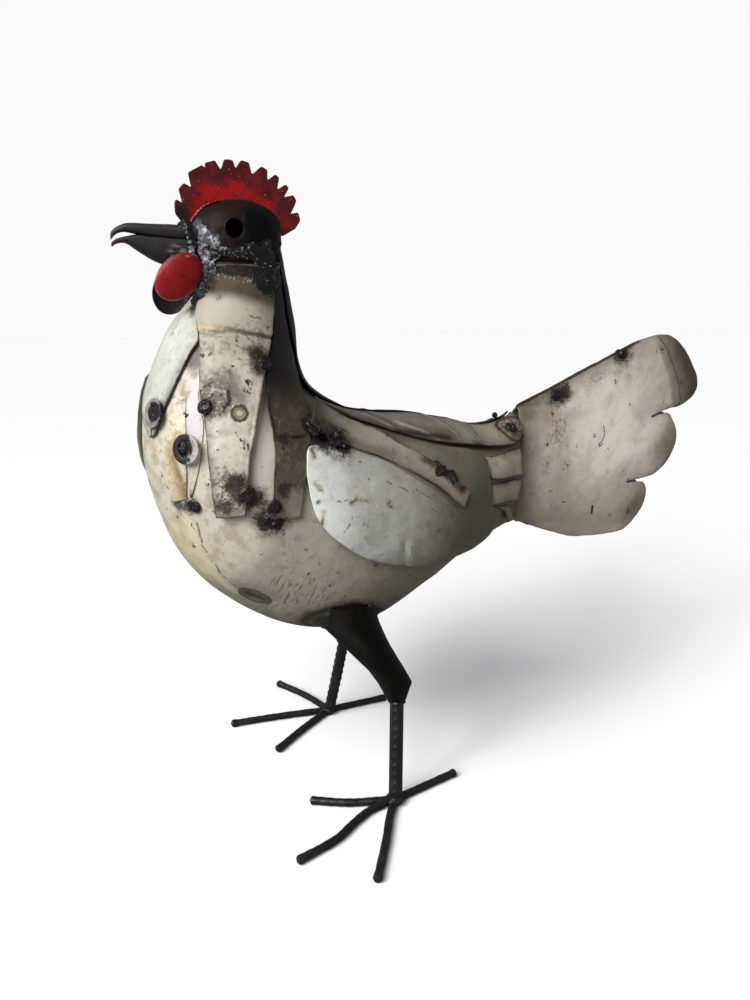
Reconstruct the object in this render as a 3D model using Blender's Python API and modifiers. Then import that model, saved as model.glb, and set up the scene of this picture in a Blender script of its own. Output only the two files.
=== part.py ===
"""Standing hen welded from drum sheet, reinforcing bar and round rod.

Metres, +Z up. The hen faces -Y and its left side is +X. The origin is on the ground, in the middle of
the hen's box. Sizes in the tables are millimetres, and MM turns them into metres.
"""
import math

import bmesh
import bpy
from mathutils import Vector, geometry

MM = 0.001
GAP = 0.3            # left between pieces that are welded together
SHEET = 1.2          # drum sheet
LEG_RADIUS = 5.3     # 10 mm reinforcing bar, at the middle of its ribs
TOE_RADIUS = 3.0     # 6 mm rod
LEFT, RIGHT = 1, -1
SIDE_NAME = {LEFT: "left", RIGHT: "right"}

# The shell is a loft. Each station gives a point on the keel line (throat, breast, belly), a point on
# the back line (nape, back, tail root), both as (y, z), and half the shell's width between them.
SHELL_STATIONS = (
    ((-189, 391), (-145.5, 401), 26),
    ((-203, 371), (-145, 381), 31),
    ((-222, 346), (-142, 355), 43),
    ((-241, 297), (-140.5, 330), 58),
    ((-240, 248), (-131, 311), 71),
    ((-217, 188), (-105, 294.5), 79),
    ((-165, 144), (-79, 288.5), 82),
    ((-112, 132), (-48, 286), 80),
    ((-64, 150), (-17, 279.5), 71),
    ((-17, 172), (11, 272.5), 53),
    ((26, 183), (35, 275), 30),
    ((51, 189), (50, 282), 13),
)
SHELL_TOP = 0.5      # the station where the neck is cut off, under the head
SHELL_TAIL = 11.0    # the station of the tail root

# The head is a loft of the same kind, from the crown down to the neck's cut.
HEAD_STATIONS = (
    ((-184, 430.5), (-162, 430.5), 10),
    ((-195, 425.5), (-152, 426), 19.5),
    ((-203, 416.5), (-146, 418.5), 24.5),
    ((-205, 405.5), (-145.5, 408.5), 27),
    ((-201, 393.5), (-145.5, 399.5), 28.5),
    ((-197, 382.1), (-145, 392.4), 29),
)
CROWN = (-173.5, 432)
EYE_CENTRE = (-180.7, 412.5)
EYE_HOLE = 5.6
EYE_RIM = 6.8
EYE_RING_LENGTH = 5
EYE_OUT = 25         # from the hen's middle to the middle of the eye ring
POCKET_DEPTH = 12

# Beak halves: (y, top z, bottom z, half width) from inside the head to the tip.
UPPER_BEAK = (
    (-195, 415.5, 405.7, 13), (-212, 415.5, 406, 10.5), (-227, 415.5, 407.5, 8), (-236.6, 415.5, 409.2, 6),
    (-242.6, 415, 410.2, 4.4), (-247, 413.2, 409.2, 2.8), (-250, 411, 406.8, 1.7), (-251.4, 408.6, 404.7, 1),
)
LOWER_BEAK = (
    (-195, 405.1, 387.5, 12), (-212, 405.3, 389.5, 10), (-225, 406.2, 393, 7.6), (-235.6, 407.4, 398.8, 5.2),
    (-242.6, 407.6, 403.4, 3.4), (-248, 406.2, 403.2, 2), (-251.4, 403.8, 401, 1),
)

# The comb is a flat fan over the head. Each tooth is (start angle, end angle, radius), degrees from the
# front round the comb's centre, and each notch between two teeth is (angle, radius).
COMB_CENTRE = (-175.3, 409.3)
COMB_THICK = 1.5
COMB_TEETH = (
    (28, 31, 41.5), (39, 46, 43.3), (54, 66.6, 46), (69.5, 77.5, 46.4), (85, 91.5, 46.5), (98, 104.5, 47.2),
    (114, 119.5, 48.4), (126, 129.5, 49.4), (136, 139.5, 49.8), (145, 150, 49.6), (158, 164, 47.2),
)
COMB_NOTCHES = (
    (31.5, 37.2), (48, 38.4), (68, 43.6), (80.5, 40.7), (94, 41.7), (109, 40.9), (123, 42.9), (134, 43),
    (142.5, 43.1), (157, 41.8),
)
COMB_FRONT = ((15, 20), (13.5, 33.6), (19, 38.6))
COMB_REAR = ((170, 42.3), (176, 33), (176, 20))

# Wattles: ovals hung under the jaw, cupped a little.
# Each is (its middle, its lean forward in degrees, half its length, half its width).
WATTLES = {LEFT: ((19, -215.5, 383.6), 46, 16.2, 11), RIGHT: ((-19, -214, 377), 25, 16.2, 11.8)}
WATTLE_CUP = 2.5

# Strips of sheet laid on the shell. Each edge is a run of (station, degrees), the angle going from the
# keel line (0) over the side to the back line (180). These are on both sides of the hen.
STRIPS = {
    "side_strip": (
        ((1.15, 123), (2.0, 117.5), (2.75, 111.5), (3.2, 108.5), (3.95, 103), (4.45, 90), (4.75, 79)),
        ((1.1, 134), (2.1, 138), (2.7, 147), (3.3, 146), (4.1, 132), (4.8, 99), (5.0, 89)),
    ),
    "wing_strip": (
        ((4.2, 125), (4.75, 129), (5.3, 131), (5.75, 131), (6.1, 129), (6.52, 124), (7.0, 117), (7.57, 106)),
        ((4.0, 146), (4.6, 148), (5.2, 150), (5.75, 148), (6.1, 143), (6.62, 135), (7.1, 127), (7.7, 113)),
    ),
    "saddle_strip": (
        ((4.0, 150), (4.9, 159), (5.8, 156), (6.95, 146), (7.8, 143), (9.05, 140), (10.2, 131), (10.8, 129)),
        ((4.2, 154), (4.9, 167), (5.7, 175), (6.95, 176), (7.8, 176), (9.05, 176), (10.2, 176), (10.8, 176)),
    ),
}
RUMP_TABS = {
    "rump_tab_top": (((9.1, 112), (9.8, 103), (10.5, 94)), ((8.7, 134.5), (9.4, 131), (10.3, 125.5))),
    "rump_tab_middle": (((9.15, 93), (9.8, 80), (10.4, 68)), ((9.05, 110), (9.8, 100.5), (10.45, 91.5))),
    "rump_tab_bottom": (((9.3, 88), (9.75, 68), (10.1, 47)), ((10.1, 70), (10.45, 52), (10.8, 34))),
}
# These are each on one side only: minus degrees are on the right.
NECK_AND_BREAST = {
    "neck_strip_left": (
        ((0.95, 15), (1.5, 38), (1.95, 51), (2.4, 59), (3.2, 67), (3.85, 64), (4.4, 57)),
        ((1.05, 121), (1.7, 117), (2.3, 113), (2.75, 109), (3.5, 99), (4.1, 84), (4.55, 71)),
    ),
    "neck_strip_right": (
        ((0.95, -38), (1.5, -42), (2.0, -52), (2.4, -59), (3.2, -67), (3.85, -64), (4.4, -57)),
        ((1.05, -121), (1.7, -117), (2.3, -113), (2.75, -109), (3.5, -99), (4.1, -84), (4.55, -71)),
    ),
    "breast_feather_left": (
        ((1.0, -33), (1.45, -30), (1.9, -24), (2.25, -18), (2.6, -9), (2.95, 6), (3.25, 22)),
        ((0.95, 12), (1.45, 34.5), (2.05, 49), (2.25, 43), (2.5, 39), (2.85, 31), (3.25, 25)),
    ),
    "breast_strip_left": (
        ((2.85, 41), (3.3, 36), (3.75, 33), (4.1, 31)),
        ((2.8, 52.5), (3.3, 53), (3.8, 48.5), (4.1, 42.5)),
    ),
    "under_feather_left": (
        ((2.75, 55), (3.2, 55.5), (3.5, 54.5), (3.8, 51), (4.1, 45)),
        ((2.75, 61), (3.2, 65), (3.5, 62.5), (3.8, 57), (4.1, 46.5)),
    ),
    "breast_feather_right": (
        ((2.6, -20), (3.0, -20), (3.5, -20), (3.9, -24), (4.2, -34)),
        ((2.3, -54), (2.9, -58), (3.5, -58), (3.9, -52), (4.25, -37)),
    ),
}
NAPE_STRIP = (
    ((0.95, 139), (2.1, 142), (2.7, 151), (3.35, 151), (4.0, 158), (4.6, 167), (5.2, 177)),
    ((0.95, 221), (2.1, 218), (2.7, 209), (3.35, 209), (4.0, 202), (4.6, 193), (5.2, 183)),
)
STRIP_LIFT = 1.5     # how far a strip's underside stands off the shell's side
BACK_LIFT = 2.4      # the same on the hollow of the back

# The wing is a domed leaf: its outline as (station, degrees), and how far it stands off the shell.
WING_CENTRE = (6.7, 110)
WING_OUTLINE = (
    (4.46, 114), (4.8, 102), (5.3, 92), (5.97, 87), (6.78, 84), (7.45, 81), (7.93, 78), (8.45, 74),
    (8.8, 74), (8.88, 80), (8.75, 96), (8.65, 106), (8.55, 118), (8.48, 132), (8.0, 139), (7.3, 141),
    (6.5, 139), (5.8, 142), (5.0, 137), (4.53, 121),
)
WING_LIFT, WING_SPREAD = 3.4, 5.8
OVER_WING = SHEET + 0.9      # how far the strip on the wing stands above the wing's inner face

# The tail: two fans of sheet welded along their top edge. Outline as (y, z), half the space between
# them at the root, and along the top.
TAIL_ROOT = 51.6
TAIL_GRID = 20       # between the points that give the fans their bulge
TAIL_GRID_CLEAR = 7  # from those points to the outline
TAIL_COLUMNS, TAIL_ROWS = range(1, 11), range(-4, 6)
TAIL_OUTLINE = (
    (TAIL_ROOT, 240), (TAIL_ROOT, 262), (TAIL_ROOT, 283), (56, 290), (77, 298), (98, 306.5), (116, 314),
    (135, 321.5), (156, 330), (177, 338), (202, 343), (217, 340), (232, 329), (246, 311), (250.5, 302),
    (250, 292), (242, 284), (231, 279), (218.5, 277), (205, 268), (217.5, 273.5), (224, 266), (229, 257),
    (230, 247), (227, 238), (220, 227), (207, 218), (195, 215), (181, 204), (193.5, 210.5), (198, 203),
    (197, 193), (193, 184), (184, 174), (172, 167), (147, 166), (130, 167), (113, 169), (96, 174.5),
    (80, 180), (59, 189), (TAIL_ROOT, 193), (TAIL_ROOT, 216),
)
TAIL_ROOT_HALF, TAIL_EDGE_HALF, TAIL_BULGE = 10.0, 0.6, 4.0
TAIL_ROOT_MIDDLE, TAIL_ROOT_REACH = 236, 50      # the oval that the rump's end makes between the sheets

WASHER_OUTER, WASHER_HOLE, WASHER_THICK = 9.2, 5.2, 1.6
WASHERS = {"washer_upper": (2.95, 28), "washer_lower": (3.5, 54)}

# Legs. The thigh is a cone of sheet from the belly to the knee: each ring of it is
# (z, front y, rear y, half width, middle x), from the knee up into the belly.
ANKLES = {LEFT: (69, -89, 0), RIGHT: (-69, -92, 0)}
KNEE = (54, -81, 78)
THIGH_RINGS = (
    (80, -87.5, -74, 6.5, 54), (94, -95, -70, 11.5, 54), (108, -105.5, -77.5, 13.5, 54),
    (127, -122, -88, 16.5, 54), (148, -140.5, -97, 19.5, 53), (168, -155, -103, 22, 52),
)

# Toes: the points of each rod's middle line after the ankle, as (x, y) for that foot.
TOES = {
    LEFT: {
        "inner": ((58, -122), (43, -149)),
        "middle": ((72, -111), (80, -128), (90, -146), (98, -177)),
        "outer": ((83, -100), (105, -113.5), (135.5, -134)),
        "back": ((64, -61), (59, -30)),
    },
    RIGHT: {
        "inner": ((-49, -124), (-28, -154)),
        "middle": ((-77, -137), (-83, -181)),
        "outer": ((-102, -104), (-135.2, -122)),
        "back": ((-68, -66), (-67, -33)),
    },
}


# ---------------------------------------------------------------- helpers

def clear_scene():
    for obj in list(bpy.data.objects):
        bpy.data.objects.remove(obj, do_unlink=True)


def make_collection(name):
    made = bpy.data.collections.new(name)
    bpy.context.scene.collection.children.link(made)
    return made


def make_material(name, colour, roughness, metallic):
    made = bpy.data.materials.new(name)
    made.use_nodes = True
    shader = made.node_tree.nodes["Principled BSDF"]
    shader.inputs["Base Color"].default_value = (*colour, 1)
    shader.inputs["Roughness"].default_value = roughness
    shader.inputs["Metallic"].default_value = metallic
    made.diffuse_color = (*colour, 1)
    return made


def catmull(points, t):
    """The smooth curve through the points, at t from 0 (the first) to 1 (the last)."""
    count = len(points) - 1
    place = min(max(t, 0.0), 1.0) * count
    i = min(int(place), count - 1)
    f = place - i
    p1, p2 = Vector(points[i]), Vector(points[i + 1])
    p0 = Vector(points[i - 1]) if i else 2 * p1 - p2
    p3 = Vector(points[i + 2]) if i + 2 <= count else 2 * p2 - p1
    bend = 2 * p0 - 5 * p1 + 4 * p2 - p3
    twist = 3 * p1 - 3 * p2 + p3 - p0
    return 0.5 * (2 * p1 + (p2 - p0) * f + bend * f * f + twist * f ** 3)


def smooth(value):
    value = min(max(value, 0.0), 1.0)
    return value * value * (3 - 2 * value)


def add_mesh(name, bm, material, group):
    mesh = bpy.data.meshes.new(name)
    bm.to_mesh(mesh)
    bm.free()
    made = bpy.data.objects.new(name, mesh)
    made.data.materials.append(material)
    group.objects.link(made)
    mesh.shade_smooth()
    mesh.set_sharp_from_angle(angle=math.radians(40))
    return made


def add_thickness(obj, thickness):
    solid = obj.modifiers.new("Sheet", "SOLIDIFY")
    solid.thickness = thickness * MM
    solid.offset = 1
    solid.use_even_offset = False


def cut(obj, cutter):
    boolean = obj.modifiers.new("Cut by " + cutter.name, "BOOLEAN")
    boolean.operation = "DIFFERENCE"
    boolean.object = cutter


def make_cutter(obj):
    obj.hide_render = True
    obj.display_type = "WIRE"
    return obj


# ---------------------------------------------------------------- lofts

def loft_frame(stations, station):
    """Middle, half height vector and half width of a loft's section."""
    rows = [(*keel, *back, width) for keel, back, width in stations]
    t = station / (len(rows) - 1)
    keel = catmull([row[0:2] for row in rows], t)
    back = catmull([row[2:4] for row in rows], t)
    width = catmull([(row[4], 0) for row in rows], t)[0]
    return (keel + back) / 2, (keel - back) / 2, width


def loft_point(stations, station, degrees, lift=0.0):
    """A point of a loft's surface, lifted along the surface's normal, in metres."""
    middle, half, width = loft_frame(stations, station)
    angle = math.radians(degrees)

    def place(mid, hv, w, a):
        flat = mid + hv * math.cos(a)
        return Vector((w * math.sin(a), flat[0], flat[1]))

    here = place(middle, half, width, angle)
    if lift:
        ahead = place(*loft_frame(stations, station + 0.02), angle)
        behind = place(*loft_frame(stations, station - 0.02), angle)
        round_it = place(middle, half, width, angle + 0.02) - place(middle, half, width, angle - 0.02)
        normal = (ahead - behind).cross(round_it).normalized()
        here += normal * lift
    return here * MM


def join_rings(bm, rings, pole=None):
    """Walls between rings of points, flat at both ends or drawn in to a pole at the first ring."""
    sides = len(rings[0])
    for a, b in zip(rings, rings[1:]):
        for i in range(sides):
            j = (i + 1) % sides
            bm.faces.new((a[i], a[j], b[j], b[i]))
    bm.faces.new(rings[-1])
    if pole is None:
        bm.faces.new(rings[0][::-1])
    else:
        for i in range(sides):
            bm.faces.new((rings[0][(i + 1) % sides], rings[0][i], pole))
    bmesh.ops.recalc_face_normals(bm, faces=bm.faces)


def loft_bmesh(stations, places, sides, grow=0.0, pole=None):
    bm = bmesh.new()
    rings = []
    for station in places:
        ring = [loft_point(stations, station, 360 * i / sides, grow) for i in range(sides)]
        rings.append([bm.verts.new(co) for co in ring])
    join_rings(bm, rings, pole and bm.verts.new(pole))
    return bm


def oval_ring(bm, middle, half_a, half_b, sides):
    """Points round an oval with the two half axes, given in millimetres."""
    turns = [math.tau * i / sides for i in range(sides)]
    return [bm.verts.new((middle + half_a * math.sin(a) + half_b * math.cos(a)) * MM) for a in turns]


def shell_point(station, degrees, lift=0.0):
    return loft_point(SHELL_STATIONS, station, degrees, lift)


def shell_normal(station, degrees):
    return (shell_point(station, degrees, 5) - shell_point(station, degrees)).normalized()


def spread(first, last, step):
    count = round((last - first) / step)
    return [first + (last - first) * i / count for i in range(count + 1)]


def shell_bmesh(grow=0.0):
    places = spread(SHELL_TOP, SHELL_TAIL, 0.5)
    return loft_bmesh(SHELL_STATIONS, places, 24, grow)


def head_bmesh(grow=0.0):
    pole = Vector((0, CROWN[0], CROWN[1] + grow)) * MM
    places = spread(0, len(HEAD_STATIONS) - 1, 0.5)
    return loft_bmesh(HEAD_STATIONS, places, 20, grow, pole)


# ---------------------------------------------------------------- sheet pieces

def strip_bmesh(edges, side, lift, across=4, along=8):
    """A strip between two edges on the shell, its faces outwards. lift(station, degrees) is its height."""
    bm = bmesh.new()
    bmesh.ops.create_grid(bm, x_segments=across, y_segments=along, size=0.5)
    for vert in bm.verts:
        near, far = (catmull(edge, vert.co.y + 0.5) for edge in edges)
        station, degrees = near.lerp(far, vert.co.x + 0.5)
        vert.co = shell_point(station, side * degrees, lift(station, degrees))
    face_away(bm, shell_point(5, 0).lerp(shell_point(5, 180), 0.5))
    return bm


def face_away(bm, middle):
    """Turns all faces so that they point away from the middle."""
    bm.normal_update()
    centre = sum((face.calc_center_median() for face in bm.faces), Vector()) / len(bm.faces)
    facing = sum((face.normal * face.calc_area() for face in bm.faces), Vector())
    if facing.dot(centre - middle) < 0:
        bmesh.ops.reverse_faces(bm, faces=bm.faces)


def leaf_bmesh(centre, outline, place, segments, rings):
    """A disc whose rim follows the outline, set in space by place(point, how far out from 0 to 1)."""
    bm = bmesh.new()
    closed = list(outline) + [outline[0]]
    rim = [catmull(closed, i / segments) for i in range(segments)]
    middle = Vector(centre)
    loops = []
    for k in range(1, rings + 1):
        out = k / rings
        loops.append([bm.verts.new(place(middle.lerp(point, out), out)) for point in rim])
    hub = bm.verts.new(place(middle, 0.0))
    for i in range(segments):
        j = (i + 1) % segments
        bm.faces.new((hub, loops[0][i], loops[0][j]))
        for inner, outer in zip(loops, loops[1:]):
            bm.faces.new((inner[i], outer[i], outer[j], inner[j]))
    return bm


def wing_lift(station, degrees):
    """How far the wing stands off the shell: most at its rear and lower edge."""
    back = smooth((station - 4.4) / 3.0)
    low = smooth((152 - degrees) / 55)
    return WING_LIFT + WING_SPREAD * back * low


def wing_bmesh(side):
    def place(point, _out):
        return shell_point(point[0], side * point[1], wing_lift(*point))
    bm = leaf_bmesh(WING_CENTRE, WING_OUTLINE, place, 30, 3)
    face_away(bm, Vector((0, -60, 215)) * MM)
    return bm


def tail_half(y, z):
    """Half the space between the two tail sheets: wide round the rump, closed along the top edge."""
    root = smooth(1 - (y - TAIL_ROOT) / 62)
    height = min(1.0, abs(z - TAIL_ROOT_MIDDLE) / TAIL_ROOT_REACH)
    rump = (TAIL_ROOT_HALF - TAIL_EDGE_HALF) * math.sqrt(1 - height * height)
    low = smooth((340 - z) / 150)
    return TAIL_EDGE_HALF + rump * root + TAIL_BULGE * low * (1 - root)


def rim_distance(point, outline):
    """How far a point in the plane is from the nearest side of the outline."""
    nearest = math.inf
    for a, b in zip(outline, outline[1:] + outline[:1]):
        along = geometry.intersect_point_line(point, a, b)[1]
        foot = a.lerp(b, min(max(along, 0.0), 1.0))
        nearest = min(nearest, (foot - point).length)
    return nearest


def tail_bmesh(side):
    rim = [Vector(point) for point in TAIL_OUTLINE]
    points = list(rim)
    for i in TAIL_COLUMNS:
        for j in TAIL_ROWS:
            point = Vector((TAIL_ROOT + i * TAIL_GRID, TAIL_ROOT_MIDDLE + j * TAIL_GRID))
            if rim_distance(point, rim) > TAIL_GRID_CLEAR:
                points.append(point)
    points, _edges, faces = geometry.delaunay_2d_cdt(points, [], [range(len(rim))], 1, 1e-4)[:3]
    bm = bmesh.new()
    verts = [bm.verts.new(Vector((side * tail_half(*point), point.x, point.y)) * MM) for point in points]
    for face in faces:
        bm.faces.new([verts[i] for i in face])
    loose = [vert for vert in bm.verts if not vert.link_faces]
    bmesh.ops.delete(bm, geom=loose, context="VERTS")
    face_away(bm, Vector((0, 150, 240)) * MM)
    return bm


def wattle_bmesh(side):
    (x, y, z), tilt, half_length, half_width = WATTLES[side]
    turn = math.radians(tilt)
    long_way = Vector((0, -math.sin(turn), -math.cos(turn)))
    short_way = Vector((0, math.cos(turn), -math.sin(turn)))
    rim = [(math.cos(math.tau * i / 12), math.sin(math.tau * i / 12)) for i in range(12)]

    def place(point, out):
        flat = long_way * point[0] * half_length + short_way * point[1] * half_width
        bulge = side * WATTLE_CUP * (1 - out * out)
        return (Vector((x + bulge, y, z)) + flat) * MM
    bm = leaf_bmesh((0, 0), rim, place, 18, 2)
    face_away(bm, Vector((0, y, z)) * MM)
    return bm


# ---------------------------------------------------------------- rods, rings and plates

def outline_curve(name, loops, thickness, material, group):
    """A flat plate in the curve's own XY plane, with holes where loops lie inside the first."""
    curve = bpy.data.curves.new(name, "CURVE")
    curve.dimensions = "2D"
    curve.fill_mode = "BOTH"
    curve.extrude = thickness * MM / 2
    for loop in loops:
        spline = curve.splines.new("POLY")
        spline.points.add(len(loop) - 1)
        spline.use_cyclic_u = True
        for point, (x, y) in zip(spline.points, loop):
            point.co = (x * MM, y * MM, 0, 1)
    made = bpy.data.objects.new(name, curve)
    made.data.materials.append(material)
    group.objects.link(made)
    return made


def circle_loop(radius, sides=20):
    return [(radius * math.cos(math.tau * i / sides), radius * math.sin(math.tau * i / sides))
            for i in range(sides)]


def rod(name, points, radius, material, group):
    """A round rod along the points, in millimetres, as a mesh with welded caps."""
    curve = bpy.data.curves.new(name, "CURVE")
    curve.dimensions = "3D"
    curve.bevel_depth = radius * MM
    curve.bevel_resolution = 2
    curve.use_fill_caps = True
    spline = curve.splines.new("POLY")
    spline.points.add(len(points) - 1)
    for point, co in zip(spline.points, points):
        point.co = (*(Vector(co) * MM), 1)
    drawn = bpy.data.objects.new(name + "_line", curve)
    group.objects.link(drawn)
    bpy.context.view_layer.update()
    graph = bpy.context.evaluated_depsgraph_get()
    mesh = bpy.data.meshes.new_from_object(drawn.evaluated_get(graph))
    bpy.data.objects.remove(drawn, do_unlink=True)
    bm = bmesh.new()
    bm.from_mesh(mesh)
    bpy.data.meshes.remove(mesh)
    bmesh.ops.remove_doubles(bm, verts=bm.verts, dist=1e-6)
    bmesh.ops.recalc_face_normals(bm, faces=bm.faces)
    return add_mesh(name, bm, material, group)


def smooth_line(points, count):
    return [catmull(points, i / count) for i in range(count + 1)]


# ---------------------------------------------------------------- the pieces

def make_shell(paint, parts, cutters):
    body = add_mesh("body", shell_bmesh(), paint["cream"], parts)
    grown = make_cutter(add_mesh("body_room", shell_bmesh(GAP), paint["cream"], cutters))
    return body, grown


def make_head(paint, parts, cutters):
    head = add_mesh("head", head_bmesh(), paint["black"], parts)
    room = make_cutter(add_mesh("head_room", head_bmesh(GAP), paint["black"], cutters))
    for side in (LEFT, RIGHT):
        make_eye(side, head, paint, parts, cutters)
    return room


def make_eye(side, head, paint, parts, cutters):
    """A short ring let into the side of the head, round a blind hole."""
    y, z = EYE_CENTRE
    place = Vector((side * EYE_OUT, y, z)) * MM
    turn = (0, math.radians(90), 0)
    ring = outline_curve("eye_" + SIDE_NAME[side], (circle_loop(EYE_RIM), circle_loop(EYE_HOLE)),
                         EYE_RING_LENGTH, paint["black"], parts)
    ring.location = place
    ring.rotation_euler = turn
    inner_end = EYE_OUT - EYE_RING_LENGTH / 2 - GAP
    middle = Vector((side * (inner_end + POCKET_DEPTH / 2), y, z)) * MM
    bpy.ops.mesh.primitive_cylinder_add(vertices=20, radius=(EYE_RIM + GAP) * MM, depth=POCKET_DEPTH * MM,
                                        location=middle, rotation=turn)
    pocket = bpy.context.object
    pocket.name = "eye_pocket_" + SIDE_NAME[side]
    pocket.users_collection[0].objects.unlink(pocket)
    cutters.objects.link(make_cutter(pocket))
    cut(head, pocket)


def beak_bmesh(rows, sides=10):
    bm = bmesh.new()
    rings = []
    for y, top, bottom, width in rows:
        middle = Vector((0, y, (top + bottom) / 2))
        rings.append(oval_ring(bm, middle, Vector((width, 0, 0)), Vector((0, 0, (top - bottom) / 2)), sides))
    join_rings(bm, rings)
    return bm


def make_beak(head_room, paint, parts):
    for name, rows in (("beak_upper", UPPER_BEAK), ("beak_lower", LOWER_BEAK)):
        half = add_mesh(name, beak_bmesh(rows), paint["black"], parts)
        cut(half, head_room)


def comb_loop():
    """The comb's outline in its own plane, x backwards along the hen and y up."""
    loop = []

    def corner(angle, radius):
        a = math.radians(angle)
        loop.append((COMB_CENTRE[0] - radius * math.cos(a), COMB_CENTRE[1] + radius * math.sin(a)))
    for angle, radius in COMB_FRONT:
        corner(angle, radius)
    for i, (start, end, radius) in enumerate(COMB_TEETH):
        corner(start, radius)
        corner(end, radius)
        if i < len(COMB_NOTCHES):
            corner(*COMB_NOTCHES[i])
    for angle, radius in COMB_REAR:
        corner(angle, radius)
    return loop


def make_comb(head_room, paint, parts):
    drawn = outline_curve("comb_line", (comb_loop(),), COMB_THICK, paint["red"], parts)
    drawn.rotation_euler = (math.radians(90), 0, math.radians(90))
    bpy.context.view_layer.update()
    graph = bpy.context.evaluated_depsgraph_get()
    mesh = bpy.data.meshes.new_from_object(drawn.evaluated_get(graph))
    bm = bmesh.new()
    bm.from_mesh(mesh)
    bm.transform(drawn.matrix_world)
    bmesh.ops.remove_doubles(bm, verts=bm.verts, dist=1e-6)
    bpy.data.meshes.remove(mesh)
    bpy.data.objects.remove(drawn, do_unlink=True)
    comb = add_mesh("comb", bm, paint["red"], parts)
    cut(comb, head_room)


def make_wattle(side, paint, parts):
    wattle = add_mesh("wattle_" + SIDE_NAME[side], wattle_bmesh(side), paint["red"], parts)
    add_thickness(wattle, SHEET)


def make_strips(paint, parts):
    def on_side(_station, _degrees):
        return STRIP_LIFT

    def on_back(_station, _degrees):
        return BACK_LIFT

    def on_wing(station, degrees):
        return wing_lift(station, degrees) + OVER_WING

    def make(name, bm, colour="cream"):
        strip = add_mesh(name, bm, paint[colour], parts)
        add_thickness(strip, SHEET)
    lifts = {"side_strip": on_side, "wing_strip": on_wing, "saddle_strip": on_back}
    for side in (LEFT, RIGHT):
        for name, edges in STRIPS.items():
            make(f"{name}_{SIDE_NAME[side]}", strip_bmesh(edges, side, lifts[name]))
        for name, edges in RUMP_TABS.items():
            make(f"{name}_{SIDE_NAME[side]}", strip_bmesh(edges, side, on_side, 3, 4))
    for name, edges in NECK_AND_BREAST.items():
        make(name, strip_bmesh(edges, LEFT, on_side))
    make("nape_strip", strip_bmesh(NAPE_STRIP, LEFT, on_back, 5, 10), "black")


def make_washer(name, spot, paint, parts):
    """A washer lying on the breast, its flat towards the sheet below it."""
    ring = outline_curve(name, (circle_loop(WASHER_OUTER), circle_loop(WASHER_HOLE)), WASHER_THICK,
                         paint["steel"], parts)
    lift = STRIP_LIFT + SHEET + 2 * GAP + WASHER_THICK / 2
    ring.location = shell_point(*spot, lift)
    ring.rotation_euler = shell_normal(*spot).to_track_quat("Z", "Y").to_euler()


def make_leg(side, body_room, paint, parts, cutters):
    name = SIDE_NAME[side]
    ankle = Vector(ANKLES[side])
    knee = Vector((side * KNEE[0], KNEE[1], KNEE[2]))
    make_thigh(side, body_room, paint, parts)
    leg = rod("leg_" + name, (ankle, knee), LEG_RADIUS, paint["black"], parts)
    below = ankle.lerp(knee, -0.1)
    leg_room = make_cutter(rod(f"leg_room_{name}", (below, knee), LEG_RADIUS + GAP, paint["black"], cutters))
    level(leg)
    make_toes(side, ankle, leg_room, paint, parts, cutters)


def level(obj):
    """Cuts a leg or a toe off flat at the ground."""
    bm = bmesh.new()
    bm.from_mesh(obj.data)
    cut_off = bmesh.ops.bisect_plane(bm, geom=bm.verts[:] + bm.edges[:] + bm.faces[:], plane_co=(0, 0, 0),
                                     plane_no=(0, 0, -1), clear_outer=True)
    edges = [e for e in cut_off["geom_cut"] if isinstance(e, bmesh.types.BMEdge)]
    if edges:
        bmesh.ops.contextual_create(bm, geom=edges)
    bm.to_mesh(obj.data)
    bm.free()


def make_thigh(side, body_room, paint, parts):
    bm = bmesh.new()
    rings = []
    for z, front, rear, width, x in THIGH_RINGS:
        middle = Vector((side * x, (front + rear) / 2, z))
        half_long = Vector((0, (rear - front) / 2, 0))
        rings.append(oval_ring(bm, middle, half_long, Vector((side * width, 0, 0)), 16))
    join_rings(bm, rings)
    thigh = add_mesh("thigh_" + SIDE_NAME[side], bm, paint["black"], parts)
    cut(thigh, body_room)


def make_toes(side, ankle, leg_room, paint, parts, cutters):
    name = SIDE_NAME[side]

    def line(points):
        flat = [Vector((ankle.x, ankle.y, TOE_RADIUS))] + [Vector((x, y, TOE_RADIUS)) for x, y in points]
        return smooth_line(flat, 5)
    lines = {toe: line(points) for toe, points in TOES[side].items()}
    middle_room = make_cutter(rod(f"toe_room_{name}", lines["middle"], TOE_RADIUS + GAP, paint["black"],
                                  cutters))
    for toe, points in lines.items():
        made = rod(f"toe_{name}_{toe}", points, TOE_RADIUS, paint["black"], parts)
        cut(made, leg_room)
        if toe in ("inner", "outer"):
            cut(made, middle_room)


def main():
    clear_scene()
    parts = make_collection("metal_hen")
    cutters = make_collection("cutters")
    paint = {
        "cream": make_material("worn_cream_enamel", (0.62, 0.58, 0.48), 0.5, 0.0),
        "black": make_material("black_enamel", (0.02, 0.02, 0.022), 0.3, 0.0),
        "red": make_material("red_enamel", (0.42, 0.01, 0.015), 0.25, 0.0),
        "steel": make_material("burnt_steel", (0.12, 0.11, 0.10), 0.45, 1.0),
    }
    _body, body_room = make_shell(paint, parts, cutters)
    head_room = make_head(paint, parts, cutters)
    make_beak(head_room, paint, parts)
    make_comb(head_room, paint, parts)
    make_strips(paint, parts)
    for side in (LEFT, RIGHT):
        make_wattle(side, paint, parts)
        wing = add_mesh("wing_" + SIDE_NAME[side], wing_bmesh(side), paint["cream"], parts)
        add_thickness(wing, SHEET)
        tail = add_mesh("tail_" + SIDE_NAME[side], tail_bmesh(side), paint["cream"], parts)
        add_thickness(tail, SHEET)
        make_leg(side, body_room, paint, parts, cutters)
    for name, spot in WASHERS.items():
        make_washer(name, spot, paint, parts)


main()
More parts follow.
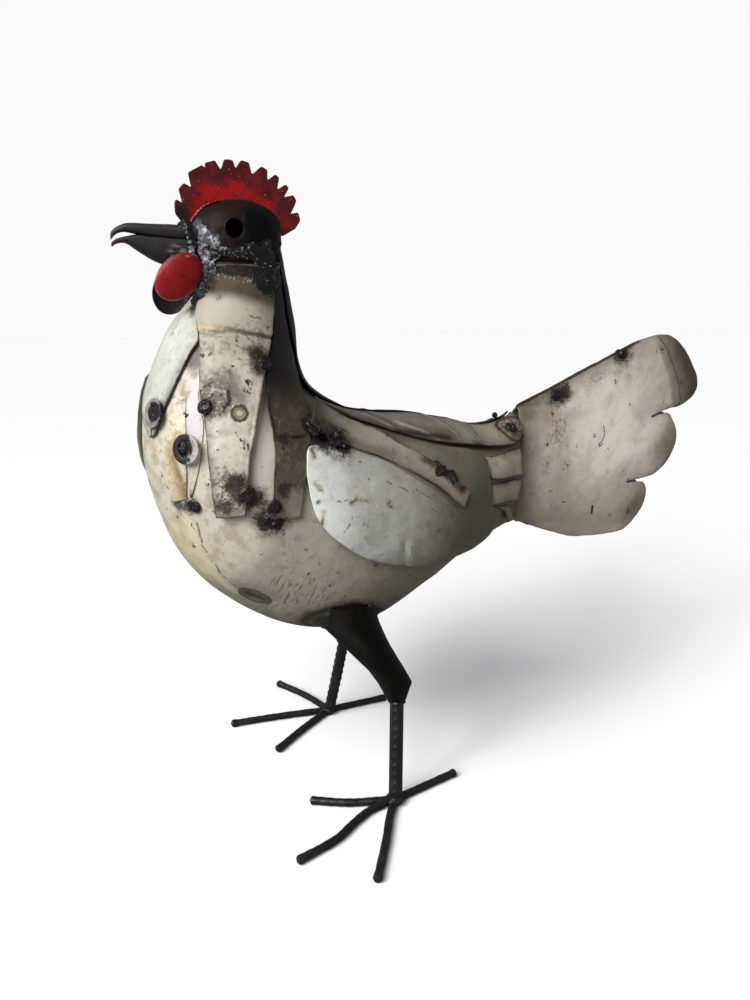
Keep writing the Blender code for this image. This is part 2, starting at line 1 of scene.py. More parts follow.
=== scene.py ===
"""Standing hen welded from drum sheet, reinforcing bar and round rod: finished pieces, finishes and studio.

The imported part's own frame is used: metres, +Z up, the hen faces -Y and its left side is +X. Sizes in the
tables and in the shape functions are millimetres, and MM turns them into metres.
"""
import math
import random

import bmesh
import bpy
import numpy as np
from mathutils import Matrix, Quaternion, Vector, bvhtree, geometry, kdtree, noise


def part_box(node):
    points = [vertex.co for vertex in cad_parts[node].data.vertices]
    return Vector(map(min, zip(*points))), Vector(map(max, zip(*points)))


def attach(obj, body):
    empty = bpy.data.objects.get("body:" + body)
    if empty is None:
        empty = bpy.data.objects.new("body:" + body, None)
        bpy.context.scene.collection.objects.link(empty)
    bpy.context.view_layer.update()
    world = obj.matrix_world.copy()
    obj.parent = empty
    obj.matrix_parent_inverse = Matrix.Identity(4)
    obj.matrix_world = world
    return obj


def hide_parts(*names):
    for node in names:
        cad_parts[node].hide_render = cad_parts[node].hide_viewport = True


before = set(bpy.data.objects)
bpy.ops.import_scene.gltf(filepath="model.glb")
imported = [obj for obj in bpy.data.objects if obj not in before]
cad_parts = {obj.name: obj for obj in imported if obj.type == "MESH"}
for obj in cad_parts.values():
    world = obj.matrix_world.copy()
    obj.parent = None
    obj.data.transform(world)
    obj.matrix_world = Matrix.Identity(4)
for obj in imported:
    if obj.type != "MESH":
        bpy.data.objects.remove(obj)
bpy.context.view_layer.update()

MM = 0.001
SHEET = 1.2          # drum sheet
SIDES = LEFT, RIGHT = 1, -1
SIDE_NAME = {LEFT: "left", RIGHT: "right"}

# ======== shapes the sheets are laid on

# The shell is a loft. Each station gives a point on the keel line (throat, breast, belly), a point on
# the back line (nape, back, tail root), both as (y, z), and half the shell's width between them.
SHELL_STATIONS = (
    ((-189, 391), (-145.5, 401), 26),
    ((-203, 371), (-145, 381), 31),
    ((-222, 346), (-142, 355), 43),
    ((-241, 297), (-140.5, 330), 58),
    ((-240, 248), (-131, 311), 71),
    ((-217, 188), (-105, 294.5), 79),
    ((-165, 144), (-79, 288.5), 82),
    ((-112, 132), (-48, 286), 80),
    ((-64, 150), (-17, 279.5), 71),
    ((-17, 172), (11, 272.5), 53),
    ((26, 183), (35, 275), 30),
    ((51, 189), (50, 282), 13),
)
SHELL_TOP, SHELL_TAIL = 0.1, 11.0        # the stations its closed skin starts and ends at
HEAD_STATIONS = (
    ((-184, 430.5), (-162, 430.5), 10),
    ((-195, 425.5), (-152, 426), 19.5),
    ((-203, 416.5), (-146, 418.5), 24.5),
    ((-205, 405.5), (-145.5, 408.5), 27),
    ((-201, 393.5), (-145.5, 399.5), 28.5),
    ((-197, 382.1), (-145, 392.4), 29),
)
CROWN = (0, -173.5, 432)
CROWN_SHARE = 0.12   # of the head's length, taken by the cap over its first station


def smooth(value):
    value = np.clip(value, 0.0, 1.0)
    return value * value * (3 - 2 * value)


def track(rows, place):
    """The smooth curve through the rows, at places counted in rows."""
    rows = np.asarray(rows, float)
    last = len(rows) - 1
    place = np.clip(np.asarray(place, float), 0, last)
    i = np.minimum(place.astype(int), last - 1)
    f = (place - i)[..., None]
    padded = np.vstack([2 * rows[0] - rows[1], rows, 2 * rows[-1] - rows[-2]])
    p0, p1, p2, p3 = (padded[i + k] for k in range(4))
    bend = 2 * p0 - 5 * p1 + 4 * p2 - p3
    twist = 3 * p1 - 3 * p2 + p3 - p0
    return 0.5 * (2 * p1 + (p2 - p0) * f + bend * f * f + twist * f ** 3)


def unit(vectors):
    return vectors / np.linalg.norm(vectors, axis=-1, keepdims=True)


class Loft:
    """A form between a keel line and a back line. A place on it is a station and an angle in degrees:
    0 on the keel line, 90 on the left side, 180 on the back line, minus on the right side."""

    def __init__(self, stations):
        self.rows = np.array([(*keel, *back, half) for keel, back, half in stations], float)

    def skin(self, station, degrees):
        rows = track(self.rows, station)
        keel, back, half = rows[..., 0:2], rows[..., 2:4], rows[..., 4]
        angle = np.radians(degrees)
        flat = (keel + back) / 2 + (keel - back) / 2 * np.cos(angle)[..., None]
        return np.stack([half * np.sin(angle), flat[..., 0], flat[..., 1]], axis=-1)

    def normal(self, station, degrees):
        station = np.clip(station, 0, len(self.rows) - 1)
        ahead = self.skin(station + 0.02, degrees) - self.skin(station - 0.02, degrees)
        round_it = self.skin(station, degrees + 1) - self.skin(station, degrees - 1)
        return unit(np.cross(ahead, round_it))

    def point(self, station, degrees, lift=0.0):
        given = (np.asarray(x, float) for x in (station, degrees, lift))
        station, degrees, lift = np.broadcast_arrays(*given)
        return self.skin(station, degrees) + self.normal(station, degrees) * lift[..., None]


# Where the shell's front panel laps over its side panel, from the breast down to the belly.
SHELL_SEAM = ((4.25, 45.5), (4.36, 42.5), (4.66, 38), (4.88, 37.5), (5.1, 36.5), (5.26, 36))
SEAM_HEIGHT, SEAM_FADE = 0.9, 26         # how proud the lap stands, and how far in front it lies flat again
BELLY_DENT, BELLY_DENT_DEPTH = (5.41, 37), 1.3

SHELL = Loft(SHELL_STATIONS)
SKULL = Loft(HEAD_STATIONS)
SHELL_MIDDLE = (0, -120, 215)
WING_MIDDLE = (0, -60, 215)
TAIL_MIDDLE = (0, 150, 240)
SKULL_MIDDLE = (0, -175, 404)

# How finely the closed forms are divided, round and along.
SHELL_GRID = (208, 280)
HEAD_GRID = (170, 110)
RING_GRID = (56, 28)
BEAK_GRID = (48, 90)
THIGH_GRID = (72, 70)

# ======== mesh tools


def box(node):
    """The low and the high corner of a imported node, in millimetres."""
    return [np.array(corner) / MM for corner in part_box(node)]


def grid(across, along):
    """A flat grid, with the place of each of its points from 0 to 1 both ways."""
    bm = bmesh.new()
    bmesh.ops.create_grid(bm, x_segments=across, y_segments=along, size=0.5)
    u, v = np.array([vert.co[:2] for vert in bm.verts]).T + 0.5
    return bm, u, v


def put(bm, points):
    for vert, point in zip(bm.verts, np.asarray(points) * MM):
        vert.co = point


def places(bm):
    return np.array([vert.co for vert in bm.verts]) / MM


def waves(points, size, seed):
    """A smooth random number from about -1 to 1 at each point, for lumps of the size given."""
    shift = Vector((seed * 7.31, seed * 3.17, seed * 5.93))
    return np.array([noise.noise(Vector(point) / size + shift) for point in points])


def bump_at(points, centre, radius):
    """1 at the centre, falling smoothly to nothing beyond the radius."""
    return np.exp(-np.square(np.linalg.norm(points - np.array(centre), axis=1) / radius) * 2)


def face_away(bm, middle):
    """Turns all faces so that they point away from the middle."""
    bm.normal_update()
    facing = sum((face.calc_center_median() / MM - Vector(middle)).dot(face.normal) for face in bm.faces)
    if facing < 0:
        bmesh.ops.reverse_faces(bm, faces=bm.faces)


def tree_of(points):
    """A search tree that finds the nearest of the points."""
    tree = kdtree.KDTree(len(points))
    for i, point in enumerate(points):
        tree.insert(point, i)
    tree.balance()
    return tree


def mark_rims(bm):
    """Stores how far each point is from its sheet's edge, in millimetres, as the attribute rim."""
    layer = bm.verts.layers.float.new("rim")
    tree = tree_of([vert.co for vert in bm.verts if vert.is_boundary])
    for vert in bm.verts:
        vert[layer] = tree.find(vert.co)[2] / MM
    return np.array([vert[layer] for vert in bm.verts])


def push(bm, heights):
    """Moves each point out along the surface by its height in millimetres."""
    bm.normal_update()
    moves = [vert.normal * float(height) * MM for vert, height in zip(bm.verts, heights)]
    for vert, move in zip(bm.verts, moves):
        vert.co += move


def hand_cut(bm, rim, seed, amount=0.35):
    """Makes the edge of a sheet wander a little, as shears leave it."""
    points = places(bm)
    wander = np.stack([waves(points, 7.0, seed + k) for k in range(3)], axis=1)
    put(bm, points + wander * (amount * np.exp(-rim / 4.0))[:, None])


def rolled(around, along, place):
    """A grid rolled up into a closed form. place takes the turn in radians and the length from 0 to 1."""
    bm, u, v = grid(around, along)
    put(bm, place(u * math.tau, v))
    bmesh.ops.remove_doubles(bm, verts=bm.verts, dist=2e-6)
    open_edges = [edge for edge in bm.edges if edge.is_boundary]
    if open_edges:
        bmesh.ops.holes_fill(bm, edges=open_edges, sides=0)
    bmesh.ops.recalc_face_normals(bm, faces=bm.faces)
    return bm


def cut_out(outline, step, aspect=(1, 1)):
    """A flat sheet cut to an outline, filled with points a step apart, and its points in the plane."""
    scale = np.array(aspect, float)
    rim = np.array(outline, float) * scale
    low, high = rim.min(axis=0), rim.max(axis=0)
    count = np.ceil((high - low) / step).astype(int)
    bm = bmesh.new()
    tree = tree_of([(*point, 0) for point in rim])
    inner = []
    for i in range(count[0] + 1):
        for j in range(count[1] + 1):
            point = low + np.array([i + 0.5 * (j % 2), j]) * step
            if tree.find((*point, 0))[2] > 0.45 * step:
                inner.append(Vector(point))
    spots = [Vector(point) for point in rim] + inner
    flat, _edges, faces = geometry.delaunay_2d_cdt(spots, [], [range(len(rim))], 1, 1e-5)[:3]
    verts = [bm.verts.new((point.x, point.y, 0)) for point in flat]
    for face in faces:
        bm.faces.new([verts[i] for i in face])
    bmesh.ops.delete(bm, geom=[vert for vert in bm.verts if not vert.link_faces], context="VERTS")
    return bm, np.array([vert.co[:2] for vert in bm.verts]) / scale


def round_outline(outline, step, aspect=(1, 1)):
    """The smooth closed line through the outline's points, with points a step apart."""
    points = np.array(outline, float)
    looped = np.vstack([points[-1], points, points[0], points[1]])
    fine = track(looped, np.linspace(1, len(points) + 1, 60 * len(points), endpoint=False))
    run = np.linalg.norm(np.diff(fine * np.array(aspect), axis=0, append=fine[:1] * np.array(aspect)), axis=1)
    travelled = np.cumsum(run)
    wanted = np.arange(0, travelled[-1], step)
    return fine[np.searchsorted(travelled, wanted)]


def mesh_of(name, bm):
    mesh = bpy.data.meshes.new(name)
    bm.to_mesh(mesh)
    bm.free()
    return mesh


def place_in_scene(name, data):
    made = bpy.data.objects.new(name, data)
    bpy.context.scene.collection.objects.link(made)
    return made


def finish_mesh(name, bm, paint, nodes=(), sharp=40):
    """Makes a finished piece of a bmesh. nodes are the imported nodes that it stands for."""
    mesh = mesh_of(name, bm)
    piece = place_in_scene(name, mesh)
    mesh.materials.append(paint)
    mesh.shade_smooth()
    mesh.set_sharp_from_angle(angle=math.radians(sharp))
    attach(piece, "root")
    if nodes:
        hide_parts(*nodes)
    return piece


def thicken(piece, thickness=SHEET, offset=1, round_by=0.35):
    """Gives a sheet its thickness, outwards, and takes the sharpness off its cut edges."""
    wall = piece.modifiers.new("Sheet", "SOLIDIFY")
    wall.thickness = thickness * MM
    wall.offset = offset
    wall.use_even_offset = False
    edge = piece.modifiers.new("Cut edge", "BEVEL")
    edge.width = round_by * MM
    edge.segments = 2
    edge.limit_method = "ANGLE"
    edge.angle_limit = math.radians(55)
    edge.harden_normals = False


# ======== finishes


class Value:
    """A number that varies over a surface. Sums on it add Math nodes to its finish."""

    def __init__(self, finish, socket):
        self.finish, self.socket = finish, socket

    def __add__(self, other):
        return self.finish.math("ADD", self, other)

    def __sub__(self, other):
        return self.finish.math("SUBTRACT", self, other)

    def __rsub__(self, other):
        return self.finish.math("SUBTRACT", other, self)

    def __mul__(self, other):
        if isinstance(other, (int, float)) and other == 1:
            return self
        return self.finish.math("MULTIPLY", self, other)

    def __truediv__(self, other):
        return self.finish.math("DIVIDE", self, other)

    def __pow__(self, other):
        return self.finish.math("POWER", self, other)

    __radd__ = __add__
    __rmul__ = __mul__


class Finish:
    """A painted or bare surface built up in layers: a colour, a roughness and a relief in millimetres."""

    def __init__(self, name, colour, roughness, metallic=0.0, coat=0.0, specular=0.5):
        self.material = bpy.data.materials.new(name)
        self.material.use_nodes = True
        self.tree = self.material.node_tree
        self.shader = self.tree.nodes["Principled BSDF"]
        fixed = {"Metallic": metallic, "Coat Weight": coat, "Coat Roughness": 0.15,
                 "Specular IOR Level": specular}
        for socket, value in fixed.items():
            self.shader.inputs[socket].default_value = value
        self.material.diffuse_color = (*colour, 1)
        self.colour = colour
        self.rough = roughness
        self.relief = 0.0
        place = self.node("ShaderNodeTexCoord").outputs["Object"]
        self.place = self.vector("SCALE", place, scale=1 / MM)
        self.drift = self.clouds(9, 5)
        self.fret = self.clouds(2.2)
        self.grit = self.clouds(1.5, 4)

    def node(self, kind, settings=None, inputs=None):
        made = self.tree.nodes.new(kind)
        for key, value in (settings or {}).items():
            setattr(made, key, value)
        for key, value in (inputs or {}).items():
            if isinstance(value, Value):
                value = value.socket
            if isinstance(value, bpy.types.NodeSocket):
                self.tree.links.new(value, made.inputs[key])
            elif isinstance(value, tuple) and made.inputs[key].type == "RGBA":
                made.inputs[key].default_value = (*value, 1)
            else:
                made.inputs[key].default_value = value
        return made

    def math(self, operation, *values):
        made = self.node("ShaderNodeMath", {"operation": operation}, dict(enumerate(values)))
        return Value(self, made.outputs[0])

    def vector(self, operation, *values, scale=None):
        inputs = dict(enumerate(values))
        if scale is not None:
            inputs["Scale"] = scale
        made = self.node("ShaderNodeVectorMath", {"operation": operation}, inputs)
        return made.outputs[1 if operation in ("DISTANCE", "LENGTH", "DOT_PRODUCT") else 0]

    def step(self, value, low, high):
        """0 below low and 1 above high, smoothly between; the other way round if low is above high."""
        if low > high:
            return 1 - self.step(value, high, low)
        made = self.node("ShaderNodeMapRange", {"interpolation_type": "SMOOTHSTEP"},
                         {"Value": value, "From Min": low, "From Max": high})
        return Value(self, made.outputs[0])

    def stretched(self, stretch, turned=None):
        place = self.place
        if turned:
            place = self.node("ShaderNodeMapping", None, {"Vector": place, "Rotation": turned}).outputs[0]
        if stretch == (1, 1, 1):
            return place
        return self.vector("MULTIPLY", place, tuple(1 / s for s in stretch))

    def clouds(self, size, detail=3, stretch=(1, 1, 1), bend=0.0, turned=None):
        """Cloudy numbers round 0.5, with patches of the size given in millimetres."""
        made = self.node("ShaderNodeTexNoise", None, {
            "Vector": self.stretched(stretch, turned), "Scale": 1 / size, "Detail": detail, "Roughness": 0.55,
            "Distortion": bend})
        return Value(self, made.outputs[0])

    def patches(self, low, high, size, detail=3, **cloud):
        """Cloudy patches: 0 where the clouds are below low and 1 where they are above high."""
        return self.step(self.clouds(size, detail, **cloud), low, high)

    def flecks(self, spacing, size, few=0.5, seed=0.0):
        """Small round specks of about the size given, spacing apart; the higher few is, the fewer stay."""
        shifted = self.vector("ADD", self.place, (seed * 13.7, seed * 5.1, seed * 9.3))
        cells = self.node("ShaderNodeTexVoronoi", {"feature": "F1"},
                          {"Vector": shifted, "Scale": 1 / spacing})
        there = self.node("ShaderNodeSeparateColor", None, {0: cells.outputs["Color"]}).outputs[0]
        reach = Value(self, there) * (size / spacing)
        spot = self.step(Value(self, cells.outputs["Distance"]) - reach + self.fret * 0.12, 0.06, 0.0)
        pick = self.node("ShaderNodeSeparateColor", None, {0: cells.outputs["Color"]}).outputs[1]
        return spot * self.step(Value(self, pick), few, few + 0.05)

    def hairlines(self, size, width, stretch, few=0.62, seed=0.0):
        """Long thin scratches: the level lines of a stretched cloud, kept in some patches only."""
        shifted = self.vector("ADD", self.stretched(stretch), (seed * 3.3, seed * 8.1, seed * 4.7))
        cloud = self.node("ShaderNodeTexNoise", None, {"Vector": shifted, "Scale": 1 / size, "Detail": 1.5})
        off = self.math("ABSOLUTE", Value(self, cloud.outputs[0]) - 0.5)
        return self.step(off, width, 0.0) * self.step(self.clouds(size * 0.8, 2), few, few + 0.06)

    def away(self, centre):
        """How far from the centre, in millimetres."""
        return Value(self, self.vector("DISTANCE", self.place, tuple(map(float, centre))))

    def near(self, centre, radius, soft=0.35, ragged=0.5):
        """1 round the centre, 0 beyond the radius, with a ragged edge."""
        away = self.away(centre) + (self.drift - 0.5) * (ragged * radius * 2)
        away = away + (self.fret - 0.5) * (ragged * radius * 0.7)
        return self.step(away, radius * (1 + soft), radius * (1 - soft))

    def fall(self, centre, radius):
        """1 at the centre, falling smoothly to 0 at the radius."""
        return self.step(self.away(centre), radius, 0.0)

    def ring(self, centre, radius, width):
        """1 along a circle round the centre."""
        off = self.math("ABSOLUTE", self.away(centre) + (self.fret - 0.5) * (width * 1.6) - radius)
        return self.step(off, width, width * 0.3)

    def line(self, points, width, soft=0.6, wander=1.2):
        """1 along the run of straight lines through the points."""
        loose = self.vector("SCALE", self.vector("SUBTRACT", self.node(
            "ShaderNodeTexNoise", None, {"Vector": self.place, "Scale": 0.16, "Detail": 3}).outputs["Color"],
            (0.5, 0.5, 0.5)), scale=wander * 2)
        here = self.vector("ADD", self.place, loose)
        nearest = None
        for a, b in zip(points, points[1:]):
            run = np.array(b, float) - np.array(a, float)
            from_a = self.vector("SUBTRACT", here, tuple(map(float, a)))
            share = self.vector("DOT_PRODUCT", from_a, tuple(run / run.dot(run)))
            share = self.node("ShaderNodeClamp", None, {0: share}).outputs[0]
            foot = self.vector("SCALE", tuple(run), scale=share)
            away = Value(self, self.vector("DISTANCE", from_a, foot))
            nearest = away if nearest is None else self.math("MINIMUM", nearest, away)
        return self.step(nearest + (self.fret - 0.5) * (width * 1.2), width * (1 + soft), width * (1 - soft))

    def along(self, axis, low, high):
        """0 where the coordinate is at low and 1 where it is at high, in millimetres."""
        part = self.node("ShaderNodeSeparateXYZ", None, {0: self.place}).outputs[axis]
        return self.step(Value(self, part) + (self.drift - 0.5) * (abs(high - low) * 0.5), low, high)

    def toward(self, direction, low, high, ragged=0.5):
        """0 where the place measured along the direction is at low and 1 where it is at high."""
        far = Value(self, self.vector("DOT_PRODUCT", self.place, direction))
        return self.step(far + (self.drift - 0.5) * (abs(high - low) * ragged * 2), low, high)

    def flatten(self):
        """Makes the marks that follow run straight through an upright sheet, from side to side."""
        self.place = self.vector("MULTIPLY", self.place, (0, 1, 1))

    def facing(self, direction, low, high):
        """0 where the surface is turned away from the direction and 1 where it is turned to it."""
        normal = self.node("ShaderNodeTexCoord").outputs["Normal"]
        return self.step(Value(self, self.vector("DOT_PRODUCT", normal, direction)), low, high)

    def rim(self, reach):
        """1 at the sheet's cut edge, nothing beyond the reach in millimetres."""
        far = Value(self, self.node("ShaderNodeAttribute", {"attribute_name": "rim"}).outputs["Fac"])
        return self.step(far + (self.fret - 0.5) * reach * 0.9 + (self.drift - 0.5) * reach * 1.4, reach, 0.0)

    def blend(self, below, above, mask):
        made = self.node("ShaderNodeMix", {"data_type": "RGBA"}, {0: mask, 6: below, 7: above})
        return made.outputs[2]

    def coat(self, colour, mask, rough=None, relief=0.0):
        """Lays a colour over what is there, where the mask says, with its own roughness and height."""
        self.colour = self.blend(self.colour, colour, mask)
        if rough is not None:
            self.rough = mask * (rough - self.rough) + self.rough
        if relief:
            self.relief = mask * relief + self.relief

    def stroke(self, colour, share, points, width, soft=0.6, wander=1.2, within=1.0, **coat):
        """Lays a colour along a run of straight lines, by the share given and only within a mask."""
        self.coat(colour, self.line(points, width, soft, wander) * share * within, **coat)

    def spot(self, colour, share, centre, radius, soft=0.35, ragged=0.5, within=1.0, **coat):
        """Lays a colour round a place."""
        self.coat(colour, self.near(centre, radius, soft, ragged) * share * within, **coat)

    def mottle(self, colour, share, low, high, size, detail=3, within=1.0, rough=None, relief=0.0, **cloud):
        """Lays a colour in cloudy patches."""
        self.coat(colour, self.patches(low, high, size, detail, **cloud) * share * within, rough, relief)

    def lift(self, height):
        self.relief = height + self.relief

    def done(self):
        links = self.tree.links
        links.new(self.colour, self.shader.inputs["Base Color"])
        if isinstance(self.rough, Value):
            links.new(self.rough.socket, self.shader.inputs["Roughness"])
        else:
            self.shader.inputs["Roughness"].default_value = self.rough
        if isinstance(self.relief, Value):
            bump = self.node("ShaderNodeBump", None, {"Strength": 1.0, "Distance": MM, "Height": self.relief})
            links.new(bump.outputs[0], self.shader.inputs["Normal"])
        return self.material


# ======== colours and the enamel of old drums

CREAM = (0.6, 0.555, 0.44)
SHADE = (0.3, 0.265, 0.19)
TAN = (0.4, 0.27, 0.135)
SMOKE = (0.075, 0.058, 0.042)
BURNT = (0.012, 0.009, 0.008)
CHIP = (0.052, 0.038, 0.022)         # the brown sheet where paint is lost
BLACK = (0.009, 0.0075, 0.007)
RED = (0.15, 0.006, 0.008)

ON_SHEET = 2.7       # the painted face of most strips, over the shell
UP_NECK = (0, 0.16, 1)   # upwards, square to the burnt edge round the neck's top

def at(station, degrees, lift=ON_SHEET, form=SHELL):
    """A place on the shell or the head, for the marks on its sheets."""
    return tuple(float(x) for x in form.point(station, degrees, lift))


def run(*spots, side=LEFT, lift=ON_SHEET, form=SHELL):
    """Places one after another, each given as (station, degrees)."""
    return [at(station, side * degrees, lift, form) for station, degrees in spots]


def creases(side, lift, *rows):
    """Folds in a sheet on the shell: (from, to, half width, height), above 0 a ridge, below 0 a groove."""
    return [(*run(first, last, side=side, lift=lift), width, height) for first, last, width, height in rows]


def side_on(*spots):
    """Places on a finish that is flattened, each given as (y, z)."""
    return [(0.0, y, z) for y, z in spots]


def upright(*spots, lift=8):
    """Places on the wing for a finish that is flattened, each given as (station, degrees)."""
    return side_on(*(at(station, degrees, lift)[1:] for station, degrees in spots))


def paler(colour, share):
    return tuple(min(0.85, part * share) for part in colour)


def soot(finish, centre, radius, strength=1.0):
    """A burn round a weld: brown smoke, ragged black in its middle, and specks of spatter about it."""
    smoke = finish.fall(centre, radius * 2.9)
    finish.coat(SMOKE, finish.step(smoke + (finish.drift - 0.5) * 1.3, 0.3, 0.8) * (0.72 * strength))
    ragged = (finish.drift - 0.5) * 2.0 + (finish.grit - 0.5) * 0.5
    black = finish.step(finish.fall(centre, radius * 1.8) + ragged, 0.3, 0.66)
    finish.coat(BURNT, black * (0.92 * strength), rough=0.6, relief=0.12)
    spatter = finish.step(finish.fall(centre, radius * 2.8) * 0.28 + finish.grit, 0.73, 0.78)
    finish.coat(BURNT, spatter * (0.8 * strength), relief=0.08)


def burns(finish, side, *welds, lift=ON_SHEET):
    """Soot round welds on the shell: (station, degrees, radius) and, for a fainter one, its strength."""
    for station, degrees, radius, *strength in welds:
        soot(finish, at(station, side * degrees, lift), radius, *strength)


def drum_enamel(name, tint, shade=SHADE, dirt=1.0, specks=1.0, edge=1.0):
    """Old painted drum sheet: cloudy dirt, runs, specks of lost paint, scratches and burnt edges."""
    finish = Finish(name, tint, 0.45, specular=0.3)
    finish.mottle(shade, 0.55 * dirt, 0.45, 0.66, 55, 4)
    finish.mottle(paler(tint, 1.18), 0.55, 0.53, 0.68, 23, 5, bend=0.6)
    finish.mottle(shade, 0.62 * dirt, 0.53, 0.7, 10, 6, bend=0.3)
    finish.mottle(paler(tint, 1.3), 0.24, 0.55, 0.68, 4, 4, stretch=(1, 1, 5), turned=(0.35, 0.25, 0))
    finish.mottle(shade, 0.5 * dirt, 0.56, 0.72, 5, 5, bend=0.6)
    finish.mottle(TAN, 0.42 * dirt, 0.57, 0.74, 18, 6, bend=0.3)
    strokes = finish.patches(0.6, 0.68, 1.3, stretch=(1, 1, 7), turned=(0.6, 0.3, 0))
    finish.mottle(SMOKE, 0.42 * dirt, 0.5, 0.6, 12, within=strokes)
    finish.mottle(SMOKE, 0.36 * dirt, 0.61, 0.82, 6, 5, stretch=(1, 1, 4.5), rough=0.55)
    crowd = finish.patches(0.45, 0.68, 16, 4)
    finish.coat(CHIP, finish.step(finish.grit + crowd * (0.12 * specks), 0.755, 0.8) * 0.75, rough=0.7,
                relief=-0.06)
    dashes = finish.clouds(1.0, 2, stretch=(4, 4, 0.8))
    finish.coat(CHIP, finish.step(dashes + crowd * (0.07 * specks), 0.7, 0.76) * 0.6, relief=-0.05)
    finish.coat(CHIP, finish.flecks(11, 2.0, 1 - 0.18 * specks, 1.0) * 0.6, rough=0.75, relief=-0.1)
    finish.coat(CHIP, finish.hairlines(30, 0.003, (1, 1, 1), 0.6, 3.0) * 0.6, relief=-0.05)
    finish.coat(SMOKE, finish.rim(6.5) * (0.55 * edge))
    finish.coat(BURNT, finish.rim(1.5) * (0.85 * edge), rough=0.7)
    finish.lift((finish.clouds(2.6) - 0.5) * 0.1 + (finish.clouds(9) - 0.5) * 0.3)
    return finish


def collar_burn(finish, side):
    """The scorched top of a neck sheet: dark red, then pale crumbs, then olive, and its rear corner black."""
    finish.coat((0.036, 0.021, 0.001), finish.toward(UP_NECK, 337, 346, 0.3), rough=0.6)
    finish.spot(SMOKE, 0.85, at(0.85, side * 112), 17, 0.6, 0.6)
    crumbs = finish.toward(UP_NECK, 351.0, 353.5, 0.8)
    finish.mottle((0.24, 0.205, 0.145), 0.9, 0.5, 0.6, 1.6, 4, within=crumbs, rough=0.7, relief=0.3)
    red = finish.step(finish.toward(UP_NECK, 352.5, 358.5) + (finish.grit - 0.5) * 1.1, 0.45, 0.56)
    finish.coat((0.008, 0.0015, 0.001), red, rough=0.7, relief=0.3)
    corner = finish.near(at(0.55, side * 113), 14, 0.6, 0.6)
    finish.coat((0.007, 0.006, 0.006), finish.step(corner + (finish.grit - 0.5) * 0.9, 0.3, 0.55), rough=0.5,
                relief=0.5)


def neck_enamel():
    finish = drum_enamel("neck_enamel", (0.565, 0.52, 0.43))
    finish.coat((0.36, 0.325, 0.255), finish.toward(UP_NECK, 300, 318) * 0.85)
    finish.stroke((0.2, 0.185, 0.13), 0.6, run((1.1, 119), (2.3, 112), (2.7, 108)), 6, 0.9)
    finish.stroke((0.5, 0.36, 0.19), 0.75, run((1.86, 51), (1.92, 68)), 3.0)
    finish.stroke(CHIP, 0.75, run((1.94, 50), (1.97, 70), (1.98, 78)), 0.7, 0.6, 0.8, relief=-0.2)
    finish.stroke(CHIP, 0.9, run((1.93, 74), (2.03, 90), (2.21, 114)), 1.7, 0.5, 0.8, relief=-0.3)
    finish.stroke(CHIP, 0.6, run((1.78, 50), (1.86, 84)), 0.5, 0.6, 0.9,
                  within=finish.patches(0.48, 0.56, 7))
    finish.stroke(CHIP, 1, run((1.74, 96), (1.79, 104)), 1.3, 0.4, 1.4,
                  within=finish.step(finish.fret, 0.45, 0.55))
    finish.spot(SHADE, 0.5, at(2.2, 70), 17, 0.6, 0.6)
    finish.stroke(CHIP, 0.5, run((3.38, 76), (3.66, 97)), 0.45, 0.6, 0.5)
    finish.stroke(SHADE, 0.5, run((3.44, 76), (3.72, 97)), 2.2, 0.8)
    finish.stroke(SMOKE, 0.9, run((2.62, 68), (2.66, 79)), 6.0, 0.9,
                  within=finish.step(finish.drift, 0.36, 0.55))
    finish.stroke(SMOKE, 0.75, run((2.74, 84), (3.04, 89)), 5.0, 0.9)
    patch = finish.near(at(2.92, 73), 11.5, 0.2, 0.45)
    finish.coat((0.145, 0.125, 0.1), patch * 0.95, rough=0.6, relief=0.35)
    finish.mottle((0.4, 0.37, 0.3), 0.9, 0.5, 0.6, 2.2, 5, within=patch, relief=0.3)
    finish.mottle(BURNT, 0.9, 0.53, 0.62, 3.4, 5, bend=0.5, within=patch, relief=-0.1)
    finish.stroke(BURNT, 0.9, run((3.14, 79), (3.04, 83), (2.88, 82.5)), 1.5, 0.5)
    burns(finish, LEFT, (3.02, 68, 5.5), (2.61, 109, 8), (2.46, 103, 4.5, 0.8), (4.34, 76, 8),
          (4.16, 73, 6, 0.9), (4.33, 64, 5, 0.8))
    for station, degrees, size in ((2.86, 96, 2.6), (2.95, 95.5, 3.2), (3.02, 95.5, 1.6), (3.8, 86.5, 3.0),
                                   (3.7, 86.5, 2.0), (2.32, 66, 1.8), (3.55, 84, 1.5)):
        finish.spot((0.035, 0.022, 0.01), 1, at(station, degrees), size * 0.85, 0.3, 1.3,
                    within=finish.patches(0.44, 0.54, 1.5, stretch=(1, 1, 2.4)), relief=-0.1)
    ring = at(3.28, 88.5)
    finish.spot((0.27, 0.225, 0.13), 0.85, ring, 4.6, 0.3, 0.3)
    finish.spot((0.45, 0.37, 0.31), 0.9, ring, 2.0, 0.3, 0.3)
    finish.coat((0.05, 0.029, 0.013), finish.ring(ring, 4.5, 1.5) * 0.95, rough=0.6, relief=0.3)
    finish.coat((0.1, 0.062, 0.03), finish.ring(ring, 2.6, 0.7) * 0.6)
    finish.spot(SMOKE, 0.6, at(2.15, 64), 10, 0.6, 0.8, within=finish.patches(0.46, 0.6, 4, 4))
    finish.spot(SMOKE, 0.6, at(2.2, 92), 14, 0.6, 0.8, within=finish.patches(0.52, 0.62, 3, 4))
    finish.spot(SMOKE, 0.7, at(4.15, 64), 13, 0.5, 0.6, within=finish.patches(0.48, 0.6, 3, 4))
    collar_burn(finish, LEFT)
    return finish.done()


def far_neck_enamel():
    finish = drum_enamel("far_neck_enamel", CREAM, dirt=1.1)
    burns(finish, RIGHT, (2.61, 109, 7), (4.34, 76, 8))
    collar_burn(finish, RIGHT)
    return finish.done()


